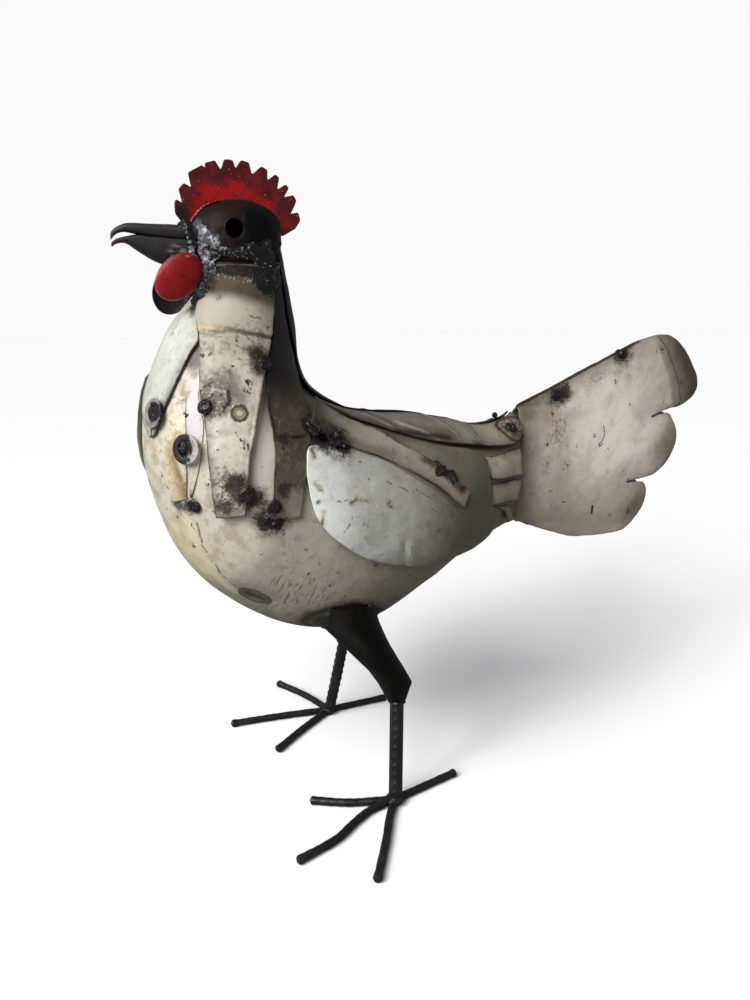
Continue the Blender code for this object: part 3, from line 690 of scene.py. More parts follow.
def feather_enamel(name, side):
    finish = drum_enamel(name, (0.485, 0.495, 0.44), (0.33, 0.33, 0.26), dirt=0.9, specks=0.9, edge=0.9)
    finish.coat((0.36, 0.38, 0.24), finish.flecks(13, 3.4, 0.8, 5.0) * 0.45)
    finish.coat((0.4, 0.405, 0.34), finish.toward((0, 0, 1), 300, 262) * 0.55)
    if side == LEFT:
        burns(finish, LEFT, (2.96, 30, 7.5), (1.32, 30, 5))
        finish.stroke((0.52, 0.46, 0.34), 0.5, run((1.45, 35), (2.0, 49), (2.3, 46)), 1.5)
        finish.stroke(SMOKE, 0.6, run((1.2, 26), (1.5, 33)), 3.0, 0.8)
        finish.stroke(CHIP, 1, run((2.95, 25), (3.28, 24)), 0.9, 0.5, 0.4)
    return finish.done()


def breast_enamel(name, side):
    """The layered strips on the breast: warm cream scorched brown."""
    finish = drum_enamel(name, (0.66, 0.595, 0.46), (0.42, 0.33, 0.22), edge=0.1)
    if side == LEFT:
        finish.stroke((0.5, 0.4, 0.23), 0.5, run((3.5, 37), (3.8, 38), (4.1, 38)), 5.5, 0.9)
        finish.mottle((0.34, 0.24, 0.13), 0.55, 0.52, 0.64, 3.5, 5)
        finish.stroke((0.27, 0.17, 0.07), 0.7, run((3.45, 40), (3.85, 42), (4.08, 41.5)), 4.2, 0.9)
        finish.stroke((0.085, 0.055, 0.03), 0.8, run((3.55, 41.5), (3.85, 43.5), (4.08, 43)), 1.7, 0.9)
        finish.stroke((0.56, 0.54, 0.58), 0.85, run((2.82, 56), (2.95, 59), (3.3, 60)), 5.5, 0.5)
        finish.stroke((0.2, 0.13, 0.08), 0.8, run((2.78, 44), (2.82, 52)), 3.0, 0.8,
                      within=finish.patches(0.44, 0.56, 3, 4))
        finish.stroke(SMOKE, 0.9, run((3.08, 57), (3.12, 66)), 1.2, 0.7)
        burns(finish, LEFT, (3.44, 51, 6), (4.15, 46, 4.5), (2.76, 47, 3.5, 0.8))
        finish.stroke(SMOKE, 0.7, run((3.73, 60), (3.94, 57), (4.1, 48)), 0.6)
    return finish.done()


def shell_enamel():
    finish = drum_enamel("shell_enamel", (0.385, 0.355, 0.285), (0.22, 0.195, 0.135), specks=0.3, edge=0)
    # Darker towards the rear: partly the greyer tone of the side panel, partly painted shade.
    finish.coat((0.15, 0.135, 0.09), finish.along(1, -150, -85) * 0.75)
    # Darker underneath: painted shade under the belly.
    finish.coat((0.084, 0.073, 0.043), finish.along(2, 176, 134) * 0.85, rough=0.55)
    finish.coat((0.095, 0.073, 0.035), finish.along(1, -60, -20) * 0.6)
    front = finish.toward((0.62, -1, 0.12), 248, 262, 0.3)
    finish.coat((0.6, 0.555, 0.455), front * 0.92)
    finish.mottle((0.37, 0.315, 0.225), 0.7, 0.46, 0.64, 13, 6, within=front)
    finish.mottle((0.3, 0.22, 0.13), 0.5, 0.56, 0.7, 6, 6, bend=0.2, within=front)
    finish.spot((0.6, 0.48, 0.24), 0.6, at(4.7, 20, 0), 24, 0.8)
    finish.spot((0.58, 0.545, 0.51), 0.7, at(3.1, 58, 0), 24, 0.6, 0.6)
    # Paler between the neck strip and the side strip: painted light, lifting the shade that falls there.
    finish.spot((0.58, 0.54, 0.45), 0.85, at(3.9, 94, 0), 19, 0.6, 0.4)
    scorch = finish.patches(0.49, 0.64, 7, 6, bend=0.5)
    finish.spot((0.3, 0.2, 0.1), 0.75, at(2.9, 45, 0), 38, 0.6, 0.4, within=scorch)
    # Dark in the gap between the breast feather and the neck strip: painted shade.
    finish.spot((0.085, 0.055, 0.06), 0.9, at(2.3, 55, 0), 9.5, 0.5, 0.6)
    for side in SIDES:
        seam = [at(s, side * d, 0.5) for s, d in SHELL_SEAM]
        pale = [at(s, side * (d - 4.5), 0.5) for s, d in SHELL_SEAM]
        finish.stroke((0.64, 0.58, 0.42), 0.6, pale, 4.2, 0.7)
        beside = [at(s, side * (d + 5), 0.5) for s, d in SHELL_SEAM[2:]]
        finish.stroke(CHIP, 0.75, seam[1:], 0.7, 0.7, 2.0, within=finish.patches(0.42, 0.52, 5),
                      relief=-0.1)
        finish.stroke(CHIP, 0.5, beside, 6, 0.8, within=finish.hairlines(4, 0.02, (1, 1, 1), 0.44, 2.0))
        burns(finish, side, (4.78, 79, 8.5), (4.44, 77, 7, 0.8), (4.2, 42, 5, 0.8), (4.12, 33, 4.5, 0.7),
              lift=1)
        low = SHELL_SEAM[-1]
        stain = [at(low[0] + 0.105 + 0.075 * k, side * (low[1] + 0.7 + 1.6 * k), -0.5) for k in range(3)]
        for colour, ends, middle in (((0.045, 0.04, 0.027), 6.4, 8.6), ((0.125, 0.125, 0.092), 4.8, 6.9)):
            for spot, reach in zip(stain, (ends, middle, ends)):
                finish.spot(colour, 0.92, spot, reach, 0.16, 0.22, rough=0.55, relief=-0.05)
        finish.stroke((0.035, 0.035, 0.026), 0.9, stain, 2.6, 0.7, 0.6)
        finish.spot(SMOKE, 0.6, (side * 50, -116, 152), 33, 0.6, 0.4)
        finish.spot(BURNT, 0.8, (side * 50, -114, 150), 21, 0.2, 0.3, rough=0.6)
        joint = [(side * x, y, z) for x, y, z in THIGH_JOINT]
        finish.stroke((0.045, 0.036, 0.02), 0.85, joint, 5.5, 0.8,
                      within=finish.step(finish.drift, 0.3, 0.5))
        finish.stroke(BURNT, 0.85, joint, 2.6, 0.8, rough=0.6)
        finish.stroke(BURNT, 0.96, THIGH_SCORCH * (side, 1, 1), 6.5, 0.45, 0.8, rough=0.5)
    strokes = finish.patches(0.575, 0.64, 1.7, 2, stretch=(1, 1, 7), turned=(0.3, -0.65, 0))
    belly = finish.near(at(5.75, 52, 0), 25, 0.4, 0.4)
    finish.coat(CHIP, strokes * belly * 0.6, relief=-0.08)
    finish.coat((0.045, 0.042, 0.032), finish.along(1, -160, -142) * finish.along(2, 262, 280) * 0.8)
    finish.coat(BLACK, finish.toward((0, 0.32, 1), 308, 314), rough=0.45)
    nape = finish.along(1, -172, -158) * finish.along(2, 306, 322)
    finish.coat(BLACK, nape, rough=0.35)
    return finish.done()


def side_enamel(side):
    finish = drum_enamel(f"side_strip_enamel_{SIDE_NAME[side]}", (0.074, 0.062, 0.042), (0.036, 0.03, 0.02),
                         dirt=1.1, specks=1.2)
    finish.mottle((0.2, 0.165, 0.13), 0.6, 0.58, 0.68, 5, 5, bend=0.8)
    finish.coat((0.058, 0.044, 0.028), finish.along(2, 258, 290) * 0.8, rough=0.5)
    finish.coat((0.22, 0.19, 0.155), finish.hairlines(6, 0.012, (1, 1, 1.6), 0.46, 2.0)
                * finish.along(2, 236, 256) * 0.55)
    finish.mottle((0.14, 0.12, 0.085), 0.5, 0.5, 0.64, 9, 5, within=finish.along(2, 244, 262))
    finish.coat(BLACK, finish.along(2, 300, 326) * 0.97, rough=0.42)
    crease = run((3.93, 101), (4.02, 106), (4.32, 120.5), side=side)
    finish.stroke(BURNT, 1, crease, 1.2, 0.6, 0.6, relief=-0.25)
    finish.stroke(BURNT, 0.9, run((3.2, 109), (3.55, 106.5), (3.95, 103.5), side=side), 1.8, 0.7)
    burns(finish, side, (4.05, 108, 4.0, 0.9), (4.64, 84, 6.5), (4.25, 127, 8), (4.6, 92, 4.5, 0.9))
    finish.spot((0.22, 0.2, 0.14), 0.7, at(4.86, side * 92), 8, 0.6, 0.8)
    return finish.done()


def wing_enamel(side):
    finish = drum_enamel(f"wing_enamel_{SIDE_NAME[side]}", (0.335, 0.34, 0.31), (0.225, 0.225, 0.19),
                         dirt=0.85, specks=0.5, edge=0.55)
    # Pale at the front and dark towards the rear, the upper rear and the bottom: painted light and shade of
    # the domed wing.
    finish.coat((0.72, 0.73, 0.69), finish.along(1, -114, -147) * 0.88)
    finish.mottle((0.47, 0.475, 0.44), 0.6, 0.5, 0.66, 13, 5, bend=0.3, within=finish.along(1, -90, -125))
    finish.coat((0.08, 0.071, 0.049), finish.along(1, -118, -42) * 0.94)
    finish.coat((0.1, 0.092, 0.06),
                finish.toward((0, 0.35, 1), 232, 258, 0.3) * finish.along(1, -95, -60) * 0.8)
    finish.coat((0.2, 0.2, 0.165), finish.along(2, 214, 190) * 0.5)
    finish.flatten()
    for marks, width in ((((4.52, 115), (4.62, 112.5)), 2.0), (((4.86, 104.5), (4.98, 103.5)), 1.8),
                         (((5.5, 105.5), (5.56, 108.5), (5.72, 108.5)), 1.7),
                         (((5.22, 96), (5.3, 92.5)), 1.4), (((5.05, 99), (5.08, 98)), 1.2)):
        points = upright(*marks)
        finish.stroke((0.24, 0.225, 0.125), 0.75, points, width, 0.8, 2.6, relief=-0.08)
        finish.stroke((0.085, 0.075, 0.035), 0.8, points, width * 0.45, 0.8, 3.0,
                      within=finish.step(finish.drift, 0.47, 0.53))
    scratches = (((5.95, 119), (6.2, 118.5), (6.42, 116.5)), ((6.56, 117.5), (6.8, 114.5), (6.97, 112)),
                 ((7.5, 106), (7.68, 103), (7.65, 101), (7.55, 99)), ((7.12, 99.5), (7.22, 97)),
                 ((5.36, 124), (5.46, 124)), ((5.62, 100), (5.62, 93)), ((6.9, 109), (7.05, 107)),
                 ((5.3, 103), (5.42, 106)), ((6.2, 88), (6.3, 90)))
    for scratch in scratches:
        finish.stroke(CHIP, 0.75, upright(*scratch), 0.42, 0.7, 2.4, relief=-0.08)
    for spot in upright((4.55, 125), (4.9, 128), lift=6):
        soot(finish, spot, 6.5)
    shaded = upright((5.2, 131), (5.8, 130), (6.5, 123), (7.0, 116.5), (7.5, 106.5), lift=9)
    finish.stroke(CHIP, 0.55, shaded, 1.0, 0.8, 0.4)
    return finish.done()


def wing_strip_enamel(side):
    finish = drum_enamel(f"wing_strip_enamel_{SIDE_NAME[side]}", (0.2, 0.18, 0.135), (0.1, 0.088, 0.06),
                         specks=0.9)
    finish.spot((0.28, 0.255, 0.2), 0.8, at(5.7, side * 141, 9), 24, 0.6)
    finish.stroke((0.18, 0.135, 0.095), 0.7, run((7.45, 114), (7.62, 108), side=side, lift=12), 7)
    torn = run((6.75, 131.5), (6.95, 128.5), (7.2, 123), (7.5, 115.5), side=side, lift=11)
    finish.stroke((0.04, 0.026, 0.014), 0.92, torn, 4.4, rough=0.7, relief=0.25)
    finish.stroke((0.16, 0.12, 0.045), 0.8, torn[1:3], 2.4, within=finish.step(finish.fret, 0.5, 0.6))
    finish.stroke(BURNT, 1, torn[2:], 2.6, within=finish.step(finish.drift, 0.44, 0.54))
    finish.spot(BURNT, 0.8, at(6.02, side * 137, 9), 1.9, 0.3, 1.3)
    finish.spot(BURNT, 0.8, at(6.33, side * 132.5, 9), 1.8, 0.3, 1.3)
    burns(finish, side, (4.7, 131, 8.5), lift=7)
    burns(finish, side, (4.3, 127, 8), lift=6)
    finish.stroke(SMOKE, 0.6, run((4.9, 132), (5.6, 133.5), (6.0, 134), side=side, lift=8), 5, 0.8)
    upper = run((4.3, 147), (5.2, 150), (5.75, 148), (6.1, 143), (6.4, 139), side=side, lift=8)
    finish.stroke(BURNT, 0.92, upper, 2.0)
    finish.coat((0.04, 0.036, 0.024), finish.along(1, -124, -142) * 0.85)
    for station, colour, width in ((5.98, CHIP, 0.9), (6.08, (0.34, 0.31, 0.25), 0.9), (6.19, CHIP, 0.7)):
        rib = run((station, 130.5), (station + 0.16, 142), side=side, lift=9)
        finish.stroke(colour, 0.75, rib, width, 0.6, 0.5)
    return finish.done()


def saddle_enamel(side):
    finish = drum_enamel(f"saddle_enamel_{SIDE_NAME[side]}", (0.165, 0.155, 0.125), (0.082, 0.078, 0.055),
                         dirt=1.1, specks=0.8, edge=1.2)
    streak = run((5.6, 158), (6.3, 152), (6.9, 149), (7.5, 148), side=side, lift=4)
    finish.stroke(SMOKE, 0.9, streak, 11, 0.9)
    # The pale streaks across the strip are painted highlights on its folds, and the dark one is painted shade
    # in a fold.
    sheen = run((6.3, 160), (6.9, 152), (7.2, 147), side=side, lift=4)
    finish.stroke((0.26, 0.25, 0.21), 0.8, sheen, 2.0, 0.8)
    for first, last, colour in (((5.3, 171), (6.1, 157), (0.22, 0.21, 0.175)),
                                ((5.7, 172), (6.3, 158), (0.055, 0.052, 0.04)),
                                ((7.4, 172), (7.8, 152), (0.23, 0.22, 0.18)),
                                ((7.9, 172), (8.2, 150), (0.22, 0.205, 0.165))):
        finish.stroke(colour, 0.7, run(first, last, side=side, lift=4), 2.2, 0.8)
    finish.stroke(BURNT, 0.9, streak[1:], 3.4, 0.8, rough=0.6)
    crack = run((8.7, 177), (8.56, 170), (8.52, 160), (8.5, 153), side=side, lift=4)
    finish.stroke(BURNT, 0.95, crack, 0.7, 0.6, 0.8, relief=-0.2)
    finish.spot((0.3, 0.26, 0.17), 0.6, at(9.2, side * 158, 4), 15, 0.6)
    patch = at(10.15, side * 152, 4)
    finish.spot((0.075, 0.05, 0.028), 0.9, patch, 14, 0.3, rough=0.7)
    finish.spot((0.25, 0.21, 0.15), 0.85, patch, 11.5, 0.3, within=finish.patches(0.46, 0.56, 2.6, 4),
                relief=0.25)
    finish.coat(BURNT, finish.ring(patch, 12.5, 1.8) * 0.9)
    soot(finish, patch, 5)
    burns(finish, side, (8.38, 141, 5, 0.8), (6.66, 143, 6, 0.8), lift=4)
    finish.coat((0.1, 0.095, 0.08), finish.along(1, -88, -124) * 0.85)
    return finish.done()


def tab_enamel(side):
    finish = drum_enamel(f"rump_enamel_{SIDE_NAME[side]}", (0.43, 0.395, 0.295), (0.24, 0.22, 0.15), dirt=0.9,
                         specks=0.7)
    finish.coat((0.16, 0.15, 0.1), finish.along(2, 232, 195) * 0.6)
    return finish.done()


def tail_enamel(side):
    finish = drum_enamel(f"tail_enamel_{SIDE_NAME[side]}", (0.6, 0.545, 0.465), (0.4, 0.345, 0.27),
                         dirt=0.9, specks=0.6, edge=0.75)
    finish.flatten()
    # A paler middle: painted light on the domed sheet.
    finish.spot((0.86, 0.79, 0.69), 0.8, (0, 150, 264), 46, 0.6, 0.4)
    finish.coat((0.31, 0.272, 0.225), finish.toward((0, -0.371, 0.928), 222, 246) * 0.6)
    finish.mottle((0.4, 0.335, 0.27), 0.3, 0.5, 0.64, 19, 5)
    # Darker towards the bottom and the root: painted shade where the sheet curves away.
    finish.coat((0.31, 0.265, 0.205), finish.along(2, 240, 180) * 0.7)
    finish.coat((0.14, 0.122, 0.078), finish.along(1, 80, 50) * 0.8)
    # The top lobe's tip darker beyond its bend: painted shade, partly brown stain.
    tip = finish.along(2, 268, 280)
    finish.coat((0.2, 0.165, 0.12), finish.toward((0, 1, 0.45), 344, 350, 0.3) * tip * 0.75)
    finish.coat((0.06, 0.048, 0.03), finish.toward((0, 1, 0.45), 346, 378, 0.3) * tip * 0.95)
    # The lobes' ends darker: painted shade where they curl away.
    for lobe, reach in (((0, 232, 240), 28), ((0, 197, 186), 23)):
        finish.spot((0.15, 0.115, 0.075), 0.85, lobe, reach, 0.7)
    crease = side_on((197.5, 341.5), (207.5, 329.5), (220.5, 306.5), (229, 285), (229, 279))
    finish.stroke(CHIP, 0.85, crease, 0.6, 0.7, 0.9, relief=-0.15)
    for y, z, size in ((78.5, 237, 6), (100.5, 236, 6), (88, 262, 9), (76, 300, 7), (92, 272, 7)):
        finish.spot((0.2, 0.135, 0.075), 0.6, (0, y, z), size, 0.6, 1.0,
                    within=finish.patches(0.44, 0.6, 3, 4))
    finish.spot((0.22, 0.25, 0.15), 0.5, (0, 133, 308), 7, 0.5, 1.2,
                within=finish.step(finish.fret, 0.45, 0.6))
    finish.stroke((0.1, 0.085, 0.05), 0.5, side_on((150, 317), (128, 306), (118, 300)), 4, 0.8, 3,
                  within=finish.patches(0.55, 0.64, 2.4, 4))
    curl = side_on((140, 266.5), (142, 259), (139, 253), (136, 251), (137, 248.5), (140, 251))
    finish.stroke(BURNT, 0.8, curl, 0.55, 0.6, 0.3, relief=-0.06)
    finish.stroke(CHIP, 1, side_on((133.5, 189), (133.5, 195)), 1.3, 0.5, 0.6)
    finish.spot(CHIP, 0.8, (0, 177, 185), 2.0, 0.3, 1.0)
    finish.stroke(CHIP, 0.9, side_on((99, 203), (103, 202.5)), 0.5)
    dots = side_on((99.5, 277), (103, 225))
    finish.stroke(CHIP, 0.8, dots, 0.9, 0.4, 1.6, within=finish.patches(0.55, 0.62, 2.2))
    finish.stroke(CHIP, 0.9, side_on((198, 271), (216, 275)), 0.9, 0.6, 0.5)
    finish.stroke(CHIP, 0.9, side_on((173.5, 213), (197, 213)), 0.9, 0.6, 0.5)
    finish.spot((0.2, 0.145, 0.095), 0.6, (0, 78, 287), 13, 0.6, 0.6)
    finish.spot(SMOKE, 0.5, (0, 62, 287), 9, 0.6, 0.6)
    soot(finish, (0, 91, 296), 8)
    soot(finish, (0, 98, 298), 6, 0.7)
    soot(finish, (0, 158, 327), 7.5)
    finish.stroke(BURNT, 0.9, side_on((52, 288), (135, 321.5), (177, 338.5)), 1.1, 0.6, 0.5)
    return finish.done()


def black_enamel(name, tint=BLACK, rough=0.36, coat=0.08, rise=0.4, specular=0.28, haze=1.0):
    finish = Finish(name, tint, rough, coat=coat, specular=specular)
    finish.mottle((0.022, 0.017, 0.015), 0.7 * haze, 0.5, 0.72, 14, 5, rough=rough + 0.12)
    finish.mottle((0.045, 0.041, 0.04), 0.5 * haze, 0.62, 0.8, 5, 5, bend=0.5, rough=rough + 0.15)
    finish.coat((0.035, 0.02, 0.013), finish.flecks(6, 1.6, 0.72, 3.0) * 0.7)
    finish.lift((finish.clouds(2.2, 4) - 0.5) * rise + (finish.clouds(7) - 0.5) * rise)
    return finish


def head_enamel():
    finish = black_enamel("head_enamel", (0.007, 0.0046, 0.0042), 0.5, 0.0, 0.3, specular=0.08, haze=0.3)
    for side in SIDES:
        finish.spot((0.013, 0.0062, 0.0048), 0.85, (side * 20, -187, 423), 19, 0.5, 0.3)
        # On the flat facet behind the beak the grey is painted reflection, and the pale line along its lower
        # edge is a painted highlight.
        sheen_path = run((2.2, 24), (2.75, 36), (3.15, 50), side=side, lift=0, form=SKULL)
        facet_sheen = finish.line(sheen_path, 4.8, 0.3)
        finish.coat((0.06, 0.062, 0.07), facet_sheen * 0.92, rough=0.36)
        finish.mottle((0.2, 0.2, 0.225), 0.85, 0.5, 0.62, 5, 5, bend=0.4, within=facet_sheen, rough=0.3)
        bright = run((2.3, 36), (2.8, 47), (3.2, 56), side=side, lift=0, form=SKULL)
        finish.stroke((0.5, 0.5, 0.54), 0.8, bright, 1.6, 0.6, 1.6,
                      within=finish.patches(0.44, 0.56, 2.4, 4), rough=0.25)
        finish.spot((0.0045, 0.004, 0.004), 1, (side * 22, -159, 414), 18.5, 0.15, 0.15, rough=0.4)
        edge = [at(head_bottom(d) - 0.02, side * d, 0.6, SKULL) for d in (28, 49, 70, 92, 104)]
        finish.stroke((0.095, 0.078, 0.066), 0.9, edge, 1.1, 0.4, 0.3, rough=0.5)
    return finish.done()


def nape_enamel():
    finish = black_enamel("nape_enamel", (0.004, 0.0038, 0.0037), 0.42, 0.0, 0.25, specular=0.14, haze=0.25)
    finish.mottle((0.012, 0.0115, 0.0115), 0.75, 0.47, 0.68, 22, 4, within=finish.along(2, 352, 318),
                  rough=0.5)
    finish.coat((0.027, 0.024, 0.019), finish.along(2, 318, 290) * 0.85, rough=0.5)
    return finish.done()


def weld_metal():
    finish = Finish("weld_metal", (0.011, 0.0095, 0.0095), 0.36, metallic=0.2, specular=0.3)
    finish.mottle((0.04, 0.037, 0.038), 0.8, 0.52, 0.66, 2.2, 4, rough=0.3)
    # Pale grey specks: painted glints on the weld.
    finish.mottle((0.42, 0.42, 0.45), 0.8, 0.665, 0.72, 1.5, bend=0.4, rough=0.22)
    finish.coat((0.03, 0.014, 0.008), finish.flecks(3.0, 1.4, 0.8, 4.0) * 0.8, rough=0.7)
    finish.lift((finish.clouds(1.6) - 0.5) * 0.4)
    return finish.done()


def jaw_enamel():
    """Black enamel over rough weld between beak, jaw and throat, with grey painted reflection and white
    painted glints.
    """
    finish = black_enamel("jaw_weld_enamel", (0.006, 0.005, 0.005), 0.3, 0.2, 0.7, specular=0.3, haze=0.4)
    for side in SIDES:
        # Grey painted reflection down the throat under the jaw, fainter lower down, with a white painted
        # highlight at its top.
        finish.spot((0.27, 0.265, 0.295), 0.9, at(4.1, side * 29, 2, SKULL), 9.5, 0.4, 0.6,
                    within=finish.patches(0.44, 0.58, 4.2, 4, bend=0.3), rough=0.34)
        finish.spot((0.12, 0.115, 0.125), 0.85, at(0.75, side * 27, 4), 10, 0.5, 0.6,
                    within=finish.patches(0.48, 0.6, 3, 4), rough=0.34)
        finish.spot((0.62, 0.62, 0.66), 0.8, at(3.7, side * 33, 2, SKULL), 7, 0.5, 0.6,
                    within=finish.patches(0.52, 0.62, 3.2, 4, bend=0.3), rough=0.25)
    # White specks all over: painted glints.
    finish.mottle((0.5, 0.5, 0.55), 0.75, 0.63, 0.69, 2.4, 4, bend=0.4, rough=0.22)
    return finish.done()


def red_enamel():
    finish = Finish("comb_enamel", RED, 0.42, coat=0.12, specular=0.3)
    centre = (0, *COMB_CENTRE)
    inner = finish.step(finish.away(centre) + (finish.drift - 0.5) * 9, 37.5, 30)
    finish.coat((0.4, 0.003, 0.005), inner * 0.9, rough=0.28)
    finish.mottle((0.07, 0.005, 0.007), 0.9, 0.4, 0.58, 9, 5, bend=0.4, within=1 - inner, rough=0.4)
    finish.mottle((0.085, 0.004, 0.005), 0.7, 0.52, 0.7, 8, 5, rough=0.45)
    finish.mottle((0.03, 0.003, 0.003), 0.8, 0.6, 0.7, 2.6, 4, rough=0.5, relief=-0.1)
    finish.mottle((0.06, 0.004, 0.005), 0.75, 0.56, 0.66, 5, 5, stretch=(1, 2, 1), rough=0.4)
    glints = finish.step(finish.grit, 0.655, 0.7) * finish.patches(0.5, 0.58, 9)
    finish.coat((0.62, 0.42, 0.4), glints * 0.8, rough=0.2)
    finish.coat((0.012, 0.006, 0.006), finish.along(1, -199, -206) * finish.along(2, 432, 424) * 0.93,
                rough=0.4)
    finish.coat((0.05, 0.003, 0.004), finish.rim(1.3) * 0.6)
    finish.lift((finish.clouds(2.4, 4) - 0.5) * 0.35 + (finish.clouds(9, 2) - 0.5) * 0.5)
    return finish.done()


def wattle_enamel(side):
    if side == LEFT:
        finish = Finish("wattle_enamel_left", (0.25, 0.006, 0.007), 0.42, coat=0.1, specular=0.2)
        finish.mottle((0.12, 0.004, 0.005), 0.75, 0.48, 0.66, 9, 5)
        finish.coat((0.035, 0.003, 0.003), finish.flecks(6, 1.3, 0.7, 2.0) * 0.8)
        finish.coat((0.5, 0.16, 0.18), finish.rim(1.3) * finish.along(2, 386, 374) * 0.6)
        finish.spot((0.028, 0.022, 0.022), 0.85, (19, -222, 402), 9, 0.6, 0.6)
        finish.spot((0.42, 0.27, 0.29), 0.8, (19, -207, 401), 7, 0.5, 0.6,
                    within=finish.patches(0.52, 0.62, 2.4, stretch=(1, 2, 1)), rough=0.3)
    else:
        finish = Finish("wattle_enamel_right", (0.17, 0.007, 0.008), 0.45, coat=0.1, specular=0.3)
        inside = finish.facing((1, 0, 0), -0.2, 0.2)
        finish.coat((0.01, 0.008, 0.008), inside, rough=0.5)
        finish.mottle((0.03, 0.022, 0.02), 0.6, 0.55, 0.75, 6, 4, within=inside)
    finish.lift((finish.clouds(2.5, 4) - 0.5) * 0.25)
    return finish.done()


def beak_enamel():
    finish = black_enamel("beak_enamel", (0.017, 0.0165, 0.017), 0.48, 0.03, 0.12)
    finish.mottle((0.06, 0.057, 0.06), 0.7, 0.5, 0.7, 6, 5, within=finish.along(1, -228, -210), rough=0.38)
    for side in SIDES:
        finish.mottle((0.27, 0.27, 0.29), 0.8, 0.46, 0.62, 3.2, stretch=(1, 1.8, 1),
                      within=finish.near((side * 11, -213, 397), 5.5, 0.6, 0.6), rough=0.35)
        finish.spot((0.1, 0.014, 0.018), 0.7, (side * 10, -216, 403), 4, 0.6, 0.8,
                    within=finish.patches(0.5, 0.6, 2.2))
    finish.spot((0.08, 0.008, 0.011), 0.8, (0, -249, 403), 4.5, 0.5, 0.6)
    return finish.done()


def thigh_enamel():
    finish = black_enamel("thigh_enamel", (0.0025, 0.0023, 0.002), 0.46, 0.0, 0.16, specular=0.1,
                          haze=0.3)
    finish.mottle((0.01, 0.0095, 0.008), 0.6, 0.48, 0.7, 20, 4, stretch=(1, 1, 2.5), rough=0.55)
    return finish.done()


def rod_paint():
    finish = black_enamel("rod_paint", (0.0095, 0.009, 0.009), 0.4, 0.1, 0.3)
    finish.mottle((0.03, 0.022, 0.018), 0.6, 0.58, 0.76, 9, 5, rough=0.5)
    # Pale grey specks: painted glints on the rods.
    finish.mottle((0.2, 0.2, 0.215), 0.6, 0.67, 0.74, 1.6, 4, rough=0.3)
    return finish.done()


def washer_steel(name, bright, weld_side, reach):
    """A washer, tinned steel where it was left clean, with burnt weld run over it from one side."""
    finish = Finish(name, (0.5 * bright, 0.485 * bright, 0.49 * bright), 0.42, metallic=0.1)
    finish.mottle((0.2, 0.165, 0.145), 1.1 - 0.5 * bright, 0.46, 0.62, 5, 5, rough=0.55)
    finish.spot(SMOKE, 0.35, weld_side, reach * 1.6, 0.5, 0.8)
    weld = finish.step(finish.near(weld_side, reach, 0.4, 0.8) + finish.grit, 0.85, 1.1)
    finish.coat((0.006, 0.0045, 0.005), weld, rough=0.45, relief=0.4)
    finish.lift((finish.clouds(1.4, 4) - 0.5) * 0.25)
    return finish.done()


# ======== the shell and the head


def line_distance(points, a, b):
    a, b = np.array(a, float), np.array(b, float)
    way = b - a
    share = np.clip((points - a) @ way / way.dot(way), 0, 1)
    return np.linalg.norm(points - a - share[:, None] * way, axis=1)


def folds(points, lines):
    """Heights of ridges and grooves, each (from, to, half width, height)."""
    total = np.zeros(len(points))
    for a, b, width, height in lines:
        total += height * np.exp(-np.square(line_distance(points, a, b) / width))
    return total


def beaten(points, seed, amount):
    """The unevenness of sheet that was bent and beaten by hand."""
    return amount * (0.75 * waves(points, 42, seed) + 0.33 * waves(points, 15, seed + 1)
                     + 0.1 * waves(points, 5, seed + 2))


def make_shell():
    seam = np.array(SHELL_SEAM)

    def place(turn, length):
        station = SHELL_TOP + (SHELL_TAIL - SHELL_TOP) * length
        degrees = np.degrees(turn)
        skin = SHELL.skin(station, degrees)
        inside = smooth(length / 0.03) * smooth((1 - length) / 0.03)
        height = beaten(skin, 1, 0.9) * inside
        around = np.minimum(degrees, 360 - degrees)
        edge = np.interp(station, seam[:, 0], seam[:, 1])
        past = (edge - around) * 1.3
        window = smooth((station - 4.2) / 0.3) * smooth((5.6 - station) / 0.3)
        height += SEAM_HEIGHT * window * smooth(past / 1.5 + 0.5) * np.exp(-np.maximum(past, 0) / SEAM_FADE)
        throat = smooth((1.35 - station) / 0.25) * smooth((52 - around) / 10)
        height += throat * (0.6 + 1.1 * waves(skin, 4.5, 5) + 0.6 * waves(skin, 2.2, 6))
        for side in SIDES:
            dent = at(BELLY_DENT[0], side * BELLY_DENT[1], 0)
            height -= BELLY_DENT_DEPTH * bump_at(skin, dent, 11)
        return skin + SHELL.normal(station, degrees) * height[:, None]
    return finish_mesh("shell", rolled(*SHELL_GRID, place), shell_enamel(), ["body"])


FACET = (2.6, 36)        # the flat spot on the head's side behind the beak: station and degrees
FACET_DEPTH = 1.0
CHEEK = (-158.5, 416.5)  # the middle of the round raised patch behind the eye, as (y, z)
CHEEK_RADIUS, CHEEK_HEIGHT = 17.5, 0.55
EYE_HOLE, EYE_DEPTH = 5.9, 9
EYE_RING = (6.6, 5.7, 4)         # outer radius, inner radius and thickness
WASHER = (9.2, 5.2, 1.6)


def head_bottom(degrees):
    """The station where the head's sheet ends over the neck sheets: level along its sides."""
    return np.interp(np.abs(degrees), (0, 49, 92, 180), (4.3, 4.38, 4.68, 5.0))


def eye_spot(side):
    return sum(box("eye_" + SIDE_NAME[side])) / 2


